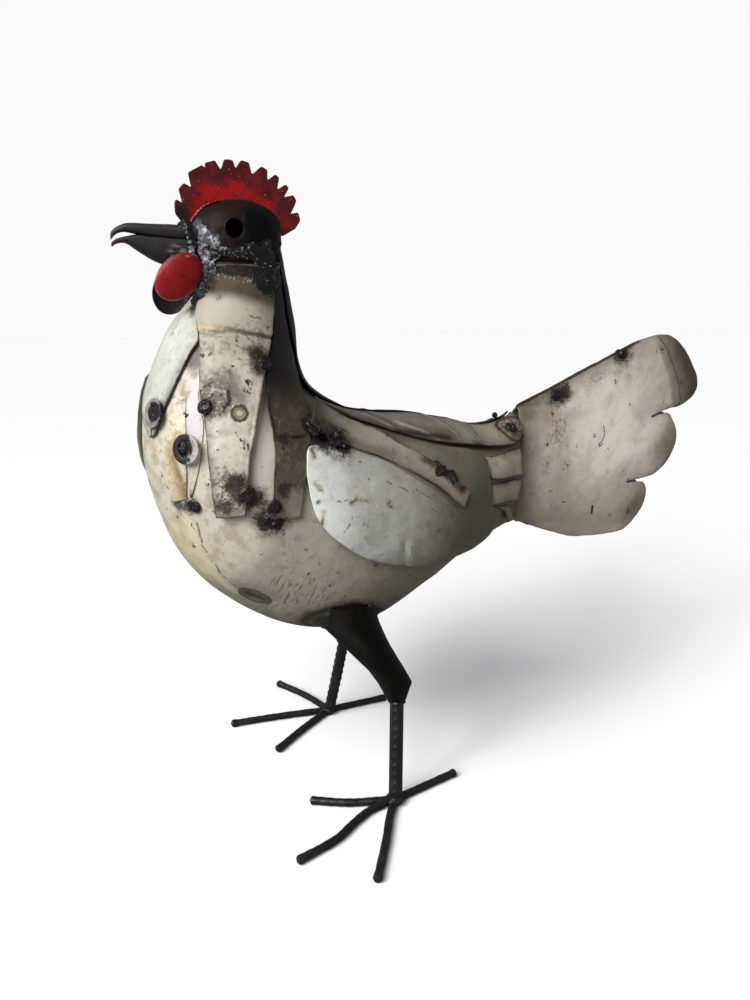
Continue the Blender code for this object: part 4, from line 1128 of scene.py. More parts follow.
def make_head():
    def place(turn, length):
        degrees = np.degrees(turn)
        bottom = head_bottom(np.minimum(degrees, 360 - degrees))
        down = (length - CROWN_SHARE) / (1 - CROWN_SHARE) * bottom
        skin = SKULL.skin(np.maximum(down, 0), degrees)
        cap = np.clip(length / CROWN_SHARE, 0, 1) * math.pi / 2
        pole = np.array(CROWN, float)
        share = np.stack([np.sin(cap), np.sin(cap), 1 - np.cos(cap)], axis=1)
        skin = np.where((length < CROWN_SHARE)[:, None], pole + (skin - pole) * share, skin)
        out = unit(skin - np.array(SKULL_MIDDLE))
        face = bump_at(np.abs(skin) * [1, -1, 1], (16, -200, 405), 24)
        height = 0.35 * waves(skin, 16, 11) + 0.12 * waves(skin, 4, 12)
        height += face * (0.5 * waves(skin, 5.5, 13) + 0.3 * waves(skin, 2.6, 14))
        gap = bottom - down
        height += 0.5 * np.exp(-np.square(gap / 0.09)) - 0.7 * np.exp(-np.square((gap - 0.24) / 0.09))
        patch = np.hypot(skin[:, 1] - CHEEK[0], skin[:, 2] - CHEEK[1])
        height += CHEEK_HEIGHT * smooth((CHEEK_RADIUS - patch) / 2.2)
        skin = skin + out * height[:, None]
        for side in SIDES:
            way = SKULL.normal(FACET[0], side * FACET[1])
            proud = (skin - SKULL.point(FACET[0], side * FACET[1])) @ way + FACET_DEPTH
            skin = skin - np.maximum(proud, 0)[:, None] * way
        for side in SIDES:
            _x, y, z = eye_spot(side)
            away = np.hypot(skin[:, 1] - y, skin[:, 2] - z)
            depth = EYE_DEPTH * smooth((EYE_HOLE - away) / 0.9) * (skin[:, 0] * side > 0)
            skin[:, 0] -= side * depth
        return skin
    finish_mesh("head_shell", rolled(*HEAD_GRID, place), head_enamel(), ["head"], sharp=60)


def make_ring(name, centre, axis, outer, inner, thickness, paint, slot, nodes, seed):
    """A flat ring with rounded edges, standing square to its axis."""
    turn_to = Vector(axis).to_track_quat("Z", "Y").to_matrix()
    half, middle = (outer - inner) / 2, (outer + inner) / 2

    def place(turn, section):
        angle = section * math.tau
        c, s = np.cos(angle), np.sin(angle)
        reach = middle + half * np.sign(c) * np.abs(c) ** 0.45
        height = thickness / 2 * np.sign(s) * np.abs(s) ** 0.45
        flat = np.stack([reach * np.cos(turn), reach * np.sin(turn), height], axis=1)
        flat += 0.15 * np.stack([waves(flat, 4, seed + k) for k in range(3)], axis=1)
        return flat @ np.array(turn_to).T + np.array(centre)
    return finish_mesh(name, rolled(*RING_GRID, place), paint, nodes)


# ======== beak, comb and wattles

# Beak halves: (y, top z, bottom z, half width) from inside the head to the tip.
UPPER_BEAK = (
    (-195, 415.5, 405.7, 13), (-212, 415.5, 406, 10.5), (-227, 415.5, 407.5, 8), (-236.6, 415.5, 409.2, 6),
    (-242.6, 415, 410.2, 4.4), (-247, 413.2, 409.2, 2.8), (-250, 411, 406.8, 1.7), (-251.4, 408.6, 404.7, 1),
)
LOWER_BEAK = (
    (-195, 408.4, 387.5, 12.4), (-212, 408.6, 389.5, 10.2), (-225, 408.9, 393, 7.7),
    (-235.6, 409, 398.8, 5.2), (-242.6, 407.7, 403.4, 3.4), (-248, 406.2, 403.2, 2), (-251.4, 403.8, 401, 1),
)


def make_beak_half(name, rows, paint, seed, open_side):
    """Half a beak folded from sheet: an arched skin with a flat, slightly hollow face to the other half."""
    def place(turn, length):
        y, top, bottom, width = track(rows, length * (len(rows) - 1)).T
        c, s = np.cos(turn), np.sin(turn)
        x = width * np.sign(s) * np.abs(s) ** 0.8
        lift = np.sign(c) * np.abs(c) ** np.where(c * open_side > 0, 0.35, 0.9)
        z = (top + bottom) / 2 + (top - bottom) / 2 * lift
        points = np.stack([x, y, z], axis=1)
        points += 0.16 * np.stack([waves(points, 6, seed + k) for k in range(3)], axis=1)
        closing = np.sqrt(np.clip(1 - np.square(np.clip((length - 0.97) / 0.03, 0, 1)), 0.0, 1))
        middle = np.stack([0 * y, y, (top + bottom) / 2], axis=1)
        return middle + (points - middle) * closing[:, None]
    return finish_mesh(name, rolled(*BEAK_GRID, place), paint, [name])


COMB_CENTRE = (-175.3, 409.3)
COMB_THICK, COMB_STEP = 1.5, 1.5
# Each tooth is (start angle, end angle, radius), degrees from the front round the comb's centre, and
# each notch between two teeth is (angle, radius).
COMB_TEETH = (
    (28, 31, 41.5), (39, 46, 43.3), (54, 66.6, 46), (69.5, 77.5, 46.4), (85, 91.5, 46.5), (98, 104.5, 47.2),
    (114, 119.5, 48.4), (126, 129.5, 49.4), (136, 139.5, 49.8), (145, 150, 49.6), (158, 164, 47.2),
)
COMB_NOTCHES = (
    (31.5, 37.2), (48, 38.4), (68, 43.6), (80.5, 40.7), (94, 41.7), (109, 40.9), (123, 42.9), (134, 43),
    (142.5, 43.1), (157, 41.8),
)
COMB_FRONT = ((15, 20), (13.5, 33.6), (19, 38.6))
COMB_REAR = ((170, 42.3), (176, 33), (176, 20))


def comb_outline():
    corners = list(COMB_FRONT)
    for i, (start, end, radius) in enumerate(COMB_TEETH):
        corners += [(start, radius), (end, radius)] + list(COMB_NOTCHES[i:i + 1])
    corners += COMB_REAR
    return [(COMB_CENTRE[0] - radius * math.cos(math.radians(angle)),
             COMB_CENTRE[1] + radius * math.sin(math.radians(angle))) for angle, radius in corners]


def file_corners(outline, step, passes):
    """The outline's straight sides in short steps, with its corners filed a little round."""
    points = []
    corners = np.array(outline, float)
    for a, b in zip(corners, np.roll(corners, -1, axis=0)):
        count = max(1, round(np.linalg.norm(b - a) / step))
        points += [a + (b - a) * i / count for i in range(count)]
    points = np.array(points)
    for _ in range(passes):
        points = (np.roll(points, 1, axis=0) + 2 * points + np.roll(points, -1, axis=0)) / 4
    return points


def make_comb(paint):
    bm, flat = cut_out(file_corners(comb_outline(), COMB_STEP / 2, 2), COMB_STEP)
    points = np.stack([0 * flat[:, 0], flat[:, 0], flat[:, 1]], axis=1)
    put(bm, points)
    rim = mark_rims(bm)
    hand_cut(bm, rim, 21, 0.25)
    points = places(bm)
    points[:, 0] += 0.8 * waves(points, 16, 22) * smooth(rim / 5 + 0.3)
    put(bm, points)
    comb = finish_mesh("comb_fan", bm, paint, ["comb"])
    thicken(comb, COMB_THICK, 0, 0.3)


WATTLES = {LEFT: ((19, -215.5, 383.6), 46, 16.2, 11), RIGHT: ((-19, -214, 377), 25, 16.2, 11.8)}
WATTLE_CUP = 2.5


def make_wattle(side):
    (x, y, z), tilt, half_length, half_width = WATTLES[side]
    turn = math.radians(tilt)
    turns = np.linspace(0, math.tau, 90, endpoint=False)
    oval = np.stack([half_length * np.cos(turns), half_width * np.sin(turns)], axis=1)
    bm, flat = cut_out(oval, WATTLE_STEP)
    out = np.hypot(flat[:, 0] / half_length, flat[:, 1] / half_width)
    points = np.stack([
        x + side * WATTLE_CUP * (1 - out ** 2),
        y - math.sin(turn) * flat[:, 0] + math.cos(turn) * flat[:, 1],
        z - math.cos(turn) * flat[:, 0] - math.sin(turn) * flat[:, 1]], axis=1)
    points[:, 0] += 0.5 * waves(points, 9, 31 + side) - side * 0.5 * smooth((out - 0.86) / 0.14)
    put(bm, points)
    face_away(bm, (0, y, z))
    hand_cut(bm, mark_rims(bm), 33 + side, 0.2)
    name = "wattle_" + SIDE_NAME[side]
    thicken(finish_mesh(name + "_leaf", bm, wattle_enamel(side), [name]))


# ======== strips, wings and tail

STRIPS = {
    "side_strip": (
        ((0.75, 123), (2.0, 117.5), (2.75, 111.5), (3.2, 108.5), (3.95, 103), (4.45, 90), (4.75, 79)),
        ((0.7, 136), (2.1, 138), (2.7, 147), (3.3, 146), (4.1, 132), (4.8, 99), (5.0, 89)),
    ),
    "wing_strip": (
        ((4.2, 125), (4.75, 129), (5.3, 131), (5.75, 131), (6.1, 129), (6.52, 124), (7.0, 117), (7.57, 106)),
        ((4.0, 146), (4.6, 148), (5.2, 150), (5.75, 148), (6.1, 143), (6.62, 135), (7.1, 127), (7.7, 113)),
    ),
    "saddle_strip": (
        ((4.0, 150), (4.9, 159), (5.8, 156), (6.95, 146), (7.8, 143), (9.05, 140), (10.2, 131), (10.8, 129)),
        ((4.2, 154), (4.9, 167), (5.7, 175), (6.95, 176), (7.8, 176), (9.05, 176), (10.2, 176), (10.8, 176)),
    ),
}
RUMP_TABS = {
    "rump_tab_top": (((8.75, 114.5), (9.7, 104), (10.5, 94)), ((8.45, 135), (9.4, 131), (10.3, 125.5))),
    "rump_tab_middle": (((8.85, 93), (9.7, 81), (10.4, 68)), ((8.75, 111.5), (9.7, 101), (10.45, 91.5))),
    "rump_tab_bottom": (((9.1, 88), (9.75, 68), (10.1, 47)), ((9.9, 72), (10.45, 52), (10.8, 34))),
}
NECK_LEFT = (
    ((0.12, 24), (0.55, 25), (0.98, 27), (1.45, 35.5), (1.95, 51), (2.4, 59), (3.2, 67), (3.85, 64),
     (4.4, 57)),
    ((0.39, 114), (0.85, 119), (1.3, 119.5), (1.8, 116.5), (2.3, 113), (2.75, 109), (3.5, 99), (4.1, 84),
     (4.55, 71)),
)
NECK_RIGHT = (
    ((0.12, -34), (0.55, -36), (0.98, -39), (1.5, -42), (2.0, -52), (2.4, -59), (3.2, -67), (3.85, -64),
     (4.4, -57)),
    tuple((station, -degrees) for station, degrees in NECK_LEFT[1]),
)
BREAST = {
    "breast_feather_left": (
        ((1.0, -33), (1.45, -30), (1.9, -24), (2.25, -18), (2.6, -9), (2.95, 6), (3.25, 22)),
        ((0.95, 12), (1.45, 34.5), (2.03, 51), (2.23, 48), (2.54, 43.5), (2.84, 38), (3.22, 28)),
    ),
    "breast_strip_left": (
        ((2.85, 41), (3.3, 36), (3.75, 33), (4.1, 31)),
        ((2.8, 52.5), (3.3, 53), (3.8, 48.5), (4.1, 42.5)),
    ),
    "under_feather_left": (
        ((2.75, 55), (3.2, 55.5), (3.5, 54.5), (3.8, 51), (4.1, 45)),
        ((2.75, 61), (3.2, 65), (3.5, 62.5), (3.8, 57), (4.1, 46.5)),
    ),
    "breast_feather_right": (
        ((2.6, -20), (3.0, -20), (3.5, -20), (3.9, -24), (4.2, -34)),
        ((2.3, -54), (2.9, -58), (3.5, -58), (3.9, -52), (4.25, -37)),
    ),
}
NAPE_EDGE = ((0.0, 134), (0.95, 139), (2.1, 142), (2.7, 151), (3.35, 151), (4.0, 158), (4.6, 167), (5.2, 177))
NAPE_STRIP = (NAPE_EDGE, tuple((station, 360 - degrees) for station, degrees in NAPE_EDGE))
WING_LIFT, WING_SPREAD = 3.4, 5.8
OVER_WING = SHEET + 0.9      # how far the strip laid on the wing stands off more than the wing


def wing_lift(station, degrees):
    """How far the wing stands off the shell: most towards its lower edge, and little along its rear."""
    back = smooth((station - 4.4) / 3.0)
    low = smooth((152 - degrees) / 55)
    rear = smooth((station - 7.7) / 1.1) * smooth((degrees - 80) / 18)
    return WING_LIFT + WING_SPREAD * back * low * (1 - 0.8 * rear)


def make_strip(name, edges, side, lift, paint, seed, size=(24, 80), curl=None, relief=(), beat=0.5,
               holes=(), sheet=SHEET):
    """A strip of sheet between two edges on the shell. lift is how far it stands off: a number, or a function
    of the place. curl(u, v) bends it up: u from the first edge to the second and v along it, from 0 to 1."""
    bm, u, v = grid(*size)
    first, second = (track(edge, v * (len(edge) - 1)) for edge in edges)
    station, degrees = (first + (second - first) * u[:, None]).T
    height = lift(station, np.abs(degrees)) if callable(lift) else np.full(len(u), float(lift))
    if curl is not None:
        height = height + curl(u, v)
    points = SHELL.point(station, side * degrees, height)
    points = points + SHELL.normal(station, side * degrees) * (
        folds(points, relief) + beaten(points, seed, beat) - 0.1)[:, None]
    put(bm, points)
    face_away(bm, SHELL_MIDDLE)
    hand_cut(bm, mark_rims(bm), seed + 5)
    for hole, radius in holes:
        lost = [vert for vert in bm.verts if (vert.co / MM - Vector(hole)).length
                < radius * (1 + 0.35 * noise.noise(vert.co / MM / 1.6))]
        bmesh.ops.delete(bm, geom=lost, context="VERTS")
    piece = finish_mesh(name + "_sheet", bm, paint, [name])
    thicken(piece, sheet)
    return piece


def make_strips(tab_paints):
    for side in SIDES:
        name = "side_strip_" + SIDE_NAME[side]
        crease = creases(side, ON_SHEET, ((3.93, 101), (4.02, 106), 1.6, -0.9),
                         ((4.02, 106), (4.32, 120.5), 1.6, -0.9))
        make_strip(name, STRIPS["side_strip"], side, 1.5, side_enamel(side), 40 + side, (24, 84),
                   curl=lambda u, v: 0.8 * smooth((v - 0.93) / 0.07), relief=crease)
        name = "wing_strip_" + SIDE_NAME[side]
        rib = creases(side, 9, ((6.02, 129), (6.16, 142), 1.1, 0.8), ((6.1, 128.5), (6.24, 141), 1.1, 0.8))
        holes = [(at(7.15, side * 125, 11), 2.6), (at(7.42, side * 119.5, 12.5), 3.0)]
        make_strip(name, STRIPS["wing_strip"], side, lambda s, d: wing_lift(s, d) + OVER_WING,
                   wing_strip_enamel(side), 50 + side, (26, 120),
                   curl=lambda u, v: 1.6 * smooth((v - 0.85) / 0.15) + 0.7 * smooth((0.12 - u) / 0.12),
                   relief=rib, beat=0.4, holes=holes)
        name = "saddle_strip_" + SIDE_NAME[side]
        crack = creases(side, 4, ((8.56, 170), (8.5, 153), 1.2, -0.7), ((5.6, 172), (6.4, 154), 2.2, -1.0),
                        ((5.95, 172), (6.75, 153), 2.2, 0.9), ((7.55, 174), (7.95, 150), 2.6, -0.9))
        make_strip(name, STRIPS["saddle_strip"], side, 2.4, saddle_enamel(side), 60 + side,
                   (34, 130), relief=crack, beat=0.8,
                   curl=lambda u, v: 0.9 * smooth((0.1 - u) / 0.1) * smooth((v - 0.3) / 0.2)
                   + 0.6 * smooth((v - 0.94) / 0.06))
        for k, (tab, edges) in enumerate(RUMP_TABS.items()):
            make_strip(f"{tab}_{SIDE_NAME[side]}", edges, side, 1.5, tab_paints[side],
                       70 + 3 * k + side, (20, 24), beat=0.4,
                       curl=lambda u, v: 1.6 * smooth((v - 0.6) / 0.4) + 0.6 * smooth((0.2 - u) / 0.2)
                       - 1.2 * smooth((0.4 - v) / 0.4))


def make_neck_and_breast():
    folds_left = creases(
        LEFT, 3.5, ((1.94, 50), (1.99, 78), 1.1, -0.75), ((1.99, 78), (2.21, 114), 1.1, -0.75),
        ((1.87, 50), (2.1, 114), 1.4, 0.55), ((3.38, 76), (3.66, 97), 0.9, -0.35),
        ((2.86, 71), (3.0, 76), 6.0, 0.5))

    def under_head(u, v):
        return (2.3 * smooth((0.8 - u) / 0.5) - 1.6 * smooth((u - 0.6) / 0.3)) * smooth(1 - v / 0.13)
    make_strip("neck_strip_left", NECK_LEFT, LEFT, 2.2, neck_enamel(), 80, (44, 140),
               curl=lambda u, v: under_head(u, v) + 1.0 * smooth((v - 0.9) / 0.1)
               + 1.2 * smooth((u - 0.9) / 0.1) * smooth((v - 0.2) / 0.4), relief=folds_left, beat=0.5)
    make_strip("neck_strip_right", NECK_RIGHT, LEFT, 2.2, far_neck_enamel(), 83, (40, 130),
               curl=under_head, beat=0.5)
    make_strip("breast_feather_left", BREAST["breast_feather_left"], LEFT, 1.3,
               feather_enamel("breast_feather_enamel_left", LEFT), 86, (44, 90), beat=0.4,
               curl=lambda u, v: 0.4 * smooth((u - 0.75) / 0.25) * smooth((v - 0.3) / 0.15))
    make_strip("breast_strip_left", BREAST["breast_strip_left"], LEFT, 0.5,
               breast_enamel("breast_strip_enamel", LEFT), 89, (18, 44), beat=0.2, sheet=0.45)
    make_strip("under_feather_left", BREAST["under_feather_left"], LEFT, 0.45,
               breast_enamel("under_feather_enamel", LEFT), 92, (12, 44), beat=0.2, sheet=0.45)
    make_strip("breast_feather_right", BREAST["breast_feather_right"], LEFT, 1.9,
               feather_enamel("breast_feather_enamel_right", RIGHT), 95, (36, 60), beat=0.5,
               curl=lambda u, v: 1.5 * smooth((0.3 - u) / 0.3))
    make_strip("nape_strip", NAPE_STRIP, LEFT, 2.4, nape_enamel(), 98, (40, 115), beat=0.6,
               curl=lambda u, v: -3.2 * np.clip(1 - v * 6, 0, 1))


WING_OUTLINE = (
    (4.46, 114), (4.8, 102), (5.3, 92), (5.97, 87), (6.78, 84), (7.45, 81), (7.93, 78), (8.45, 74),
    (8.8, 74), (8.88, 80), (8.75, 96), (8.65, 106), (8.55, 118), (8.48, 132), (8.0, 139), (7.3, 141),
    (6.5, 139), (5.8, 142), (5.0, 137), (4.53, 121),
)
WING_SCALE = (33, 1.35)      # millimetres to a station and to a degree, about the middle of the wing
WING_STEP, TAIL_STEP, WATTLE_STEP = 2.3, 2.4, 1.1        # how far apart their points are


def make_wing(side):
    bm, flat = cut_out(round_outline(WING_OUTLINE, 1.8, WING_SCALE), WING_STEP, aspect=WING_SCALE)
    station, degrees = flat.T
    lift = wing_lift(station, degrees)
    points = SHELL.point(station, side * degrees, lift)
    normal = SHELL.normal(station, side * degrees)
    dents = creases(side, 8, ((6.58, 95), (6.76, 83), 1.7, -1.5), ((6.68, 93), (6.86, 83), 1.5, 1.1),
                    ((7.16, 98), (7.5, 81), 1.9, -1.2), ((7.28, 96), (7.62, 81), 1.7, 0.8))
    height = beaten(points, 101 + side, 0.8) + folds(points, dents)
    put(bm, points + normal * height[:, None])
    face_away(bm, WING_MIDDLE)
    rim = mark_rims(bm)
    push(bm, -1.4 * smooth(1 - rim / 9.0))
    hand_cut(bm, rim, 104 + side, 0.45)
    name = "wing_" + SIDE_NAME[side]
    thicken(finish_mesh(name + "_leaf", bm, wing_enamel(side), [name]))


TAIL_ROOT = 51.6
TAIL_OUTLINE = (
    (TAIL_ROOT, 240), (TAIL_ROOT, 262), (TAIL_ROOT, 283), (56, 290), (77, 298), (98, 306.5), (116, 314),
    (135, 321.5), (156, 330), (177, 338), (202, 343), (217, 340), (232, 329), (246, 311), (250.5, 302),
    (250, 292), (242, 284), (231, 279), (218.5, 277), (208, 274.5), (199, 270.5), (208, 272.4),
    (217.5, 273), (224, 266), (229, 257), (230, 247), (227, 238), (220, 227), (207, 218), (195, 215),
    (184, 214), (174, 213), (184, 212), (194, 210.5), (198, 203), (197, 193), (193, 184), (184, 174),
    (172, 167), (147, 166), (130, 167), (113, 169), (96, 174.5), (80, 180), (59, 189), (TAIL_ROOT, 193),
    (TAIL_ROOT, 216),
)
# Half the space between its sheets at the rump and at the edge, and how much they bulge between.
TAIL_ROOT_HALF, TAIL_EDGE_HALF, TAIL_BULGE = 10.0, 0.6, 4.0
TAIL_ROOT_MIDDLE, TAIL_ROOT_REACH = 236, 50      # the rump's middle height and half its height
TAIL_DOME, TAIL_RIDGE = 2.6, 1.7         # how high each sheet bulges, and the ridge across its top lobe
TAIL_RIDGE_TOP, TAIL_RIDGE_SLOPE = (197.5, 341.5), 0.55


def tail_half(y, z):
    """Half the space between the two tail sheets: wide round the rump, closed along the top edge."""
    root = smooth(1 - (y - TAIL_ROOT) / 62)
    height = np.minimum(1.0, np.abs(z - TAIL_ROOT_MIDDLE) / TAIL_ROOT_REACH)
    rump = (TAIL_ROOT_HALF - TAIL_EDGE_HALF) * np.sqrt(1 - height * height)
    low = smooth((340 - z) / 150)
    return TAIL_EDGE_HALF + rump * root + TAIL_BULGE * low * (1 - root)


def make_tail(side):
    bm, flat = cut_out(round_outline(TAIL_OUTLINE, 1.7), TAIL_STEP)
    y, z = flat.T
    put(bm, np.stack([side * tail_half(y, z), y, z], axis=1))
    face_away(bm, TAIL_MIDDLE)
    rim = mark_rims(bm)
    free = smooth((y - 60) / 40)
    dome = TAIL_DOME * smooth(rim / 26.0) * free
    bent = (y - TAIL_RIDGE_TOP[0]) - (TAIL_RIDGE_TOP[1] - z) * TAIL_RIDGE_SLOPE
    ridge = np.where(bent < 0, np.exp(bent / 30), np.exp(-bent / 12)) * smooth((z - 274) / 8)
    points = places(bm)
    push(bm, dome + TAIL_RIDGE * ridge * smooth(rim / 6) + beaten(points, 111 + side, 0.8) * smooth(rim / 5))
    points = places(bm)
    points[:, 0] = side * np.maximum(side * points[:, 0], 0.5)
    put(bm, points)
    hand_cut(bm, rim, 114 + side, 0.3)
    name = "tail_" + SIDE_NAME[side]
    thicken(finish_mesh(name + "_fan", bm, tail_enamel(side), [name]))


# ======== legs and toes

THIGH_JOINT = (      # where the cone meets the belly, from its inner front corner round its outer side
    (30, -135, 137), (46, -151, 151), (58, -149, 162), (66, -136, 168), (69, -122, 169), (67, -108, 165),
    (59, -99, 157),
)
# Soot along the inner end of that joint's front.
THIGH_SCORCH = np.array([(34, -127, 139), (44, -136, 148), (53, -140, 158)], float)
THIGH_DRAW = 19          # how far in the cone's front is drawn under the belly
# The thigh cone from the knee up: height, front, rear, half width, and the middle's distance from the hen's.
THIGH_RINGS = (
    (80, -87.5, -74, 6.5, 54), (94, -94.5, -70, 11.5, 54), (108, -103, -77.5, 13.5, 54),
    (127, -119.5, -88, 16.5, 54), (148, -138, -97, 19.5, 53), (168, -153, -103, 22, 52),
)


def thigh_point(side, turn, length, lap=0.0):
    """A place on the thigh: length is 0 at the knee and 1 inside the belly, turn -90 degrees its front. Near
    the belly the front of the cone is drawn inwards, so that the belly bulges out past it."""
    rows = np.array(THIGH_RINGS, float)
    z, front, rear, half, x = (
        np.interp(length, np.linspace(0, 1, len(rows)), column) for column in rows.T)
    across = (half + lap) * np.cos(turn) - THIGH_DRAW * smooth((z - 110) / 40) * smooth(-1.1 * np.sin(turn))
    back = (rear - front + 2 * lap) / 2 * np.sin(turn)
    return np.stack([side * (x + across), (front + rear) / 2 + back, z + 0 * turn], axis=-1)


def make_thigh(side, paint):
    """A cone of thin sheet from the belly to the knee, lapped along its inner side."""
    def place(turn, length):
        lap = 1.1 * smooth((turn - 4.3) / 0.15) * smooth((5.4 - turn) / 1.1)
        points = thigh_point(side, turn, length, lap)
        wander = [0.4 * waves(points, 17, 120), 0.4 * waves(points, 17, 121), 0 * turn]
        return points + np.stack(wander, axis=1)
    name = "thigh_" + SIDE_NAME[side]
    finish_mesh(name + "_cone", rolled(*THIGH_GRID, place), paint, [name], sharp=50)


def travel(path):
    """How far along the path each of its points is."""
    return np.concatenate([[0], np.cumsum(np.linalg.norm(np.diff(path, axis=0), axis=1))])


def tube(path, radius, up, around=28, round_start=False, round_end=False, bulge=0.0):
    """A rod along a path, in millimetres. radius(turn, distance along) gives its size."""
    path = np.asarray(path, float)
    far = travel(path)
    ahead = unit(np.gradient(path, axis=0))
    ups = np.broadcast_to(np.asarray(up, float), path.shape)
    aside = unit(np.cross(ahead, ups))
    upward = np.cross(aside, ahead)
    length = far[-1]

    def place(turn, share):
        row = share * (len(path) - 1)
        index = np.clip(np.rint(row).astype(int), 0, len(path) - 1)
        along = far[index]
        size = radius(turn, along)
        base = np.mean(size)
        for wanted, gap in ((round_start, along), (round_end, length - along)):
            if wanted:
                size = size * (1 + bulge * np.exp(-np.square(gap / (2.2 * base))))
                size = size * np.sqrt(np.clip(1 - np.square(1 - np.clip(gap / base, 0, 1)), 0, 1))
        offset = aside[index] * np.cos(turn)[:, None] + upward[index] * np.sin(turn)[:, None]
        return path[index] + offset * size[:, None]
    return rolled(around, len(path) - 1, place)


def evenly(points, step):
    """The smooth line through the points, in equal steps."""
    fine = track(points, np.linspace(0, len(points) - 1, 400))
    far = travel(fine)
    wanted = np.linspace(0, far[-1], max(2, round(far[-1] / step)) + 1)
    return np.stack([np.interp(wanted, far, fine[:, k]) for k in range(fine.shape[1])], axis=1)


BAR_RADIUS = 5.3         # over the ribs
BAR_CORE, BAR_RIB, BAR_LUG = 4.55, 0.72, 0.62        # its core, and how high its ribs and lugs stand
LUG_SPACING = 7.0
ROD_RADIUS = 2.92        # the round rod of the toes


def rebar_radius(turn, along):
    """Reinforcing bar: a round core, two ribs along it and slanting lugs between them."""
    rib = np.exp(-np.square(np.sin(turn) / 0.2))
    half = LUG_SPACING / 2
    slant = (along + half * np.abs(np.cos(turn)) + np.where(np.sin(turn) > 0, 0, half)) % LUG_SPACING
    lug = np.exp(-np.square((slant - half) / 0.95)) * smooth(np.abs(np.sin(turn)) * 2.5)
    return BAR_CORE + BAR_RIB * rib + BAR_LUG * lug


def rod_radius(turn, along, seed):
    flats = 0.1 * np.sin(along * 0.9 + seed) * np.sin(2 * turn)
    return ROD_RADIUS + flats + 0.08 * np.sin(along * 0.37 + seed)


def leg_ends(side):
    """The ankle and the knee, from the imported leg's box."""
    low, high = box("leg_" + SIDE_NAME[side])
    outer, inner = (high[0], low[0]) if side == LEFT else (low[0], high[0])
    return (np.array([outer - side * BAR_RADIUS, low[1] + BAR_RADIUS, 0.3]),
            np.array([inner + side * BAR_RADIUS, high[1] - BAR_RADIUS, high[2]]))


TOES = {
    LEFT: {
        "inner": ((58, -122), (43, -149)),
        "middle": ((72, -111), (80, -128), (90, -146), (98, -177)),
        "outer": ((83, -100), (105, -113.5), (135.5, -134)),
        "back": ((64, -61), (59, -30)),
    },
    RIGHT: {
        "inner": ((-49, -124), (-28, -154)),
        "middle": ((-77, -137), (-83, -181)),
        "outer": ((-102, -104), (-135.2, -122)),
        "back": ((-68, -66), (-67, -33)),
    },
}
TOE_HEIGHT = 3.5


def make_leg(side, paint):
    ankle, knee = leg_ends(side)
    name = "leg_" + SIDE_NAME[side]
    facing = np.array([side * 0.75, -0.45, 0.0])
    bm = tube(evenly([ankle, (ankle + knee) / 2, knee + (0, 0, 1.5)], 0.8), rebar_radius, facing, 48)
    finish_mesh(name + "_bar", bm, paint, [name], sharp=60)
    for k, (toe, points) in enumerate(TOES[side].items()):
        flat = [(ankle[0], ankle[1], TOE_HEIGHT)] + [(x, y, TOE_HEIGHT) for x, y in points]
        bm = tube(evenly(flat, 1.3), lambda turn, along, k=k: rod_radius(turn, along, k + side), (0, 0, 1),
                  22, round_end=True, bulge=0.16)
        toe_name = f"toe_{SIDE_NAME[side]}_{toe}"
        finish_mesh(toe_name + "_rod", bm, paint, [toe_name])


# ======== welds


def weld_spot(bm, centre, normal, radius, height, seed, pit=0.0, fineness=4):
    """A puddle of weld: a low rippled dome, with a pit in its middle where it was left hollow."""
    made = bmesh.ops.create_icosphere(bm, subdivisions=fineness, radius=1.0)
    turn = Vector(normal).to_track_quat("Z", "Y").to_matrix()
    middle = Vector(centre)
    shift = Vector((seed * 3.1, seed * 1.7, seed * 2.3))
    for vert in made["verts"]:
        p = vert.co.copy()
        reach = math.hypot(p.x, p.y)
        swell = 1 + 0.2 * noise.noise(p * 1.4 + shift) + 0.1 * noise.noise(p * 3.2 + shift)
        ripple = 0.11 * math.sin(reach * 12 + seed)
        hollow = pit * math.exp(-(reach / 0.42) ** 2) if p.z > 0 else 0.0
        lump = 0.08 * noise.noise(p * 4.0 + shift)
        flat = Vector((p.x * radius * swell, p.y * radius * swell,
                       (p.z * (1 + ripple) - hollow + lump) * height))
        vert.co = (middle + turn @ flat) * MM


def weld_bead(path, width, height, up, seed):
    """A run of weld: a flattened rod with ripples, closed round at both ends."""
    path = np.asarray(path, float)

    def radius(turn, along):
        ripple = 0.09 * np.sin(along * 2.4 + 0.6 * np.sin(turn * 2) + seed)
        lumps = np.array([noise.noise(Vector((a / 3.2 + seed, math.cos(t), math.sin(t)))) for a, t in
                          zip(along, turn)])
        flat = 1 / np.sqrt(np.square(np.cos(turn) / width) + np.square(np.sin(turn) / height))
        return flat * (1 + ripple + 0.34 * lumps)
    return tube(path, radius, up, 24, round_start=True, round_end=True)


SHELL_WELDS = (      # station, degrees, radius, height, lift, and whether the right side has it too
    (2.63, 109, 4.6, 1.7, 3.8, True), (3.0, 68, 4.4, 1.6, 3.8, False), (2.95, 29.8, 5.4, 1.4, 3.3, False),
    (3.44, 50.5, 4.6, 1.7, 3.2, False), (4.2, 46, 4.4, 1.6, 1.2, False), (4.36, 76, 4.8, 1.8, 3.8, True),
    (4.66, 84, 4.0, 1.5, 3.2, True), (4.77, 79, 5.2, 1.9, 1.4, True), (4.72, 131, 3.4, 1.8, 8.8, True),
    (10.15, 152, 4.6, 2.0, 4.2, True),
)
TAIL_WELDS = ((89.5, 294.5, 4.6), (157.5, 327, 3.8))      # y, z and radius, on both tail sheets


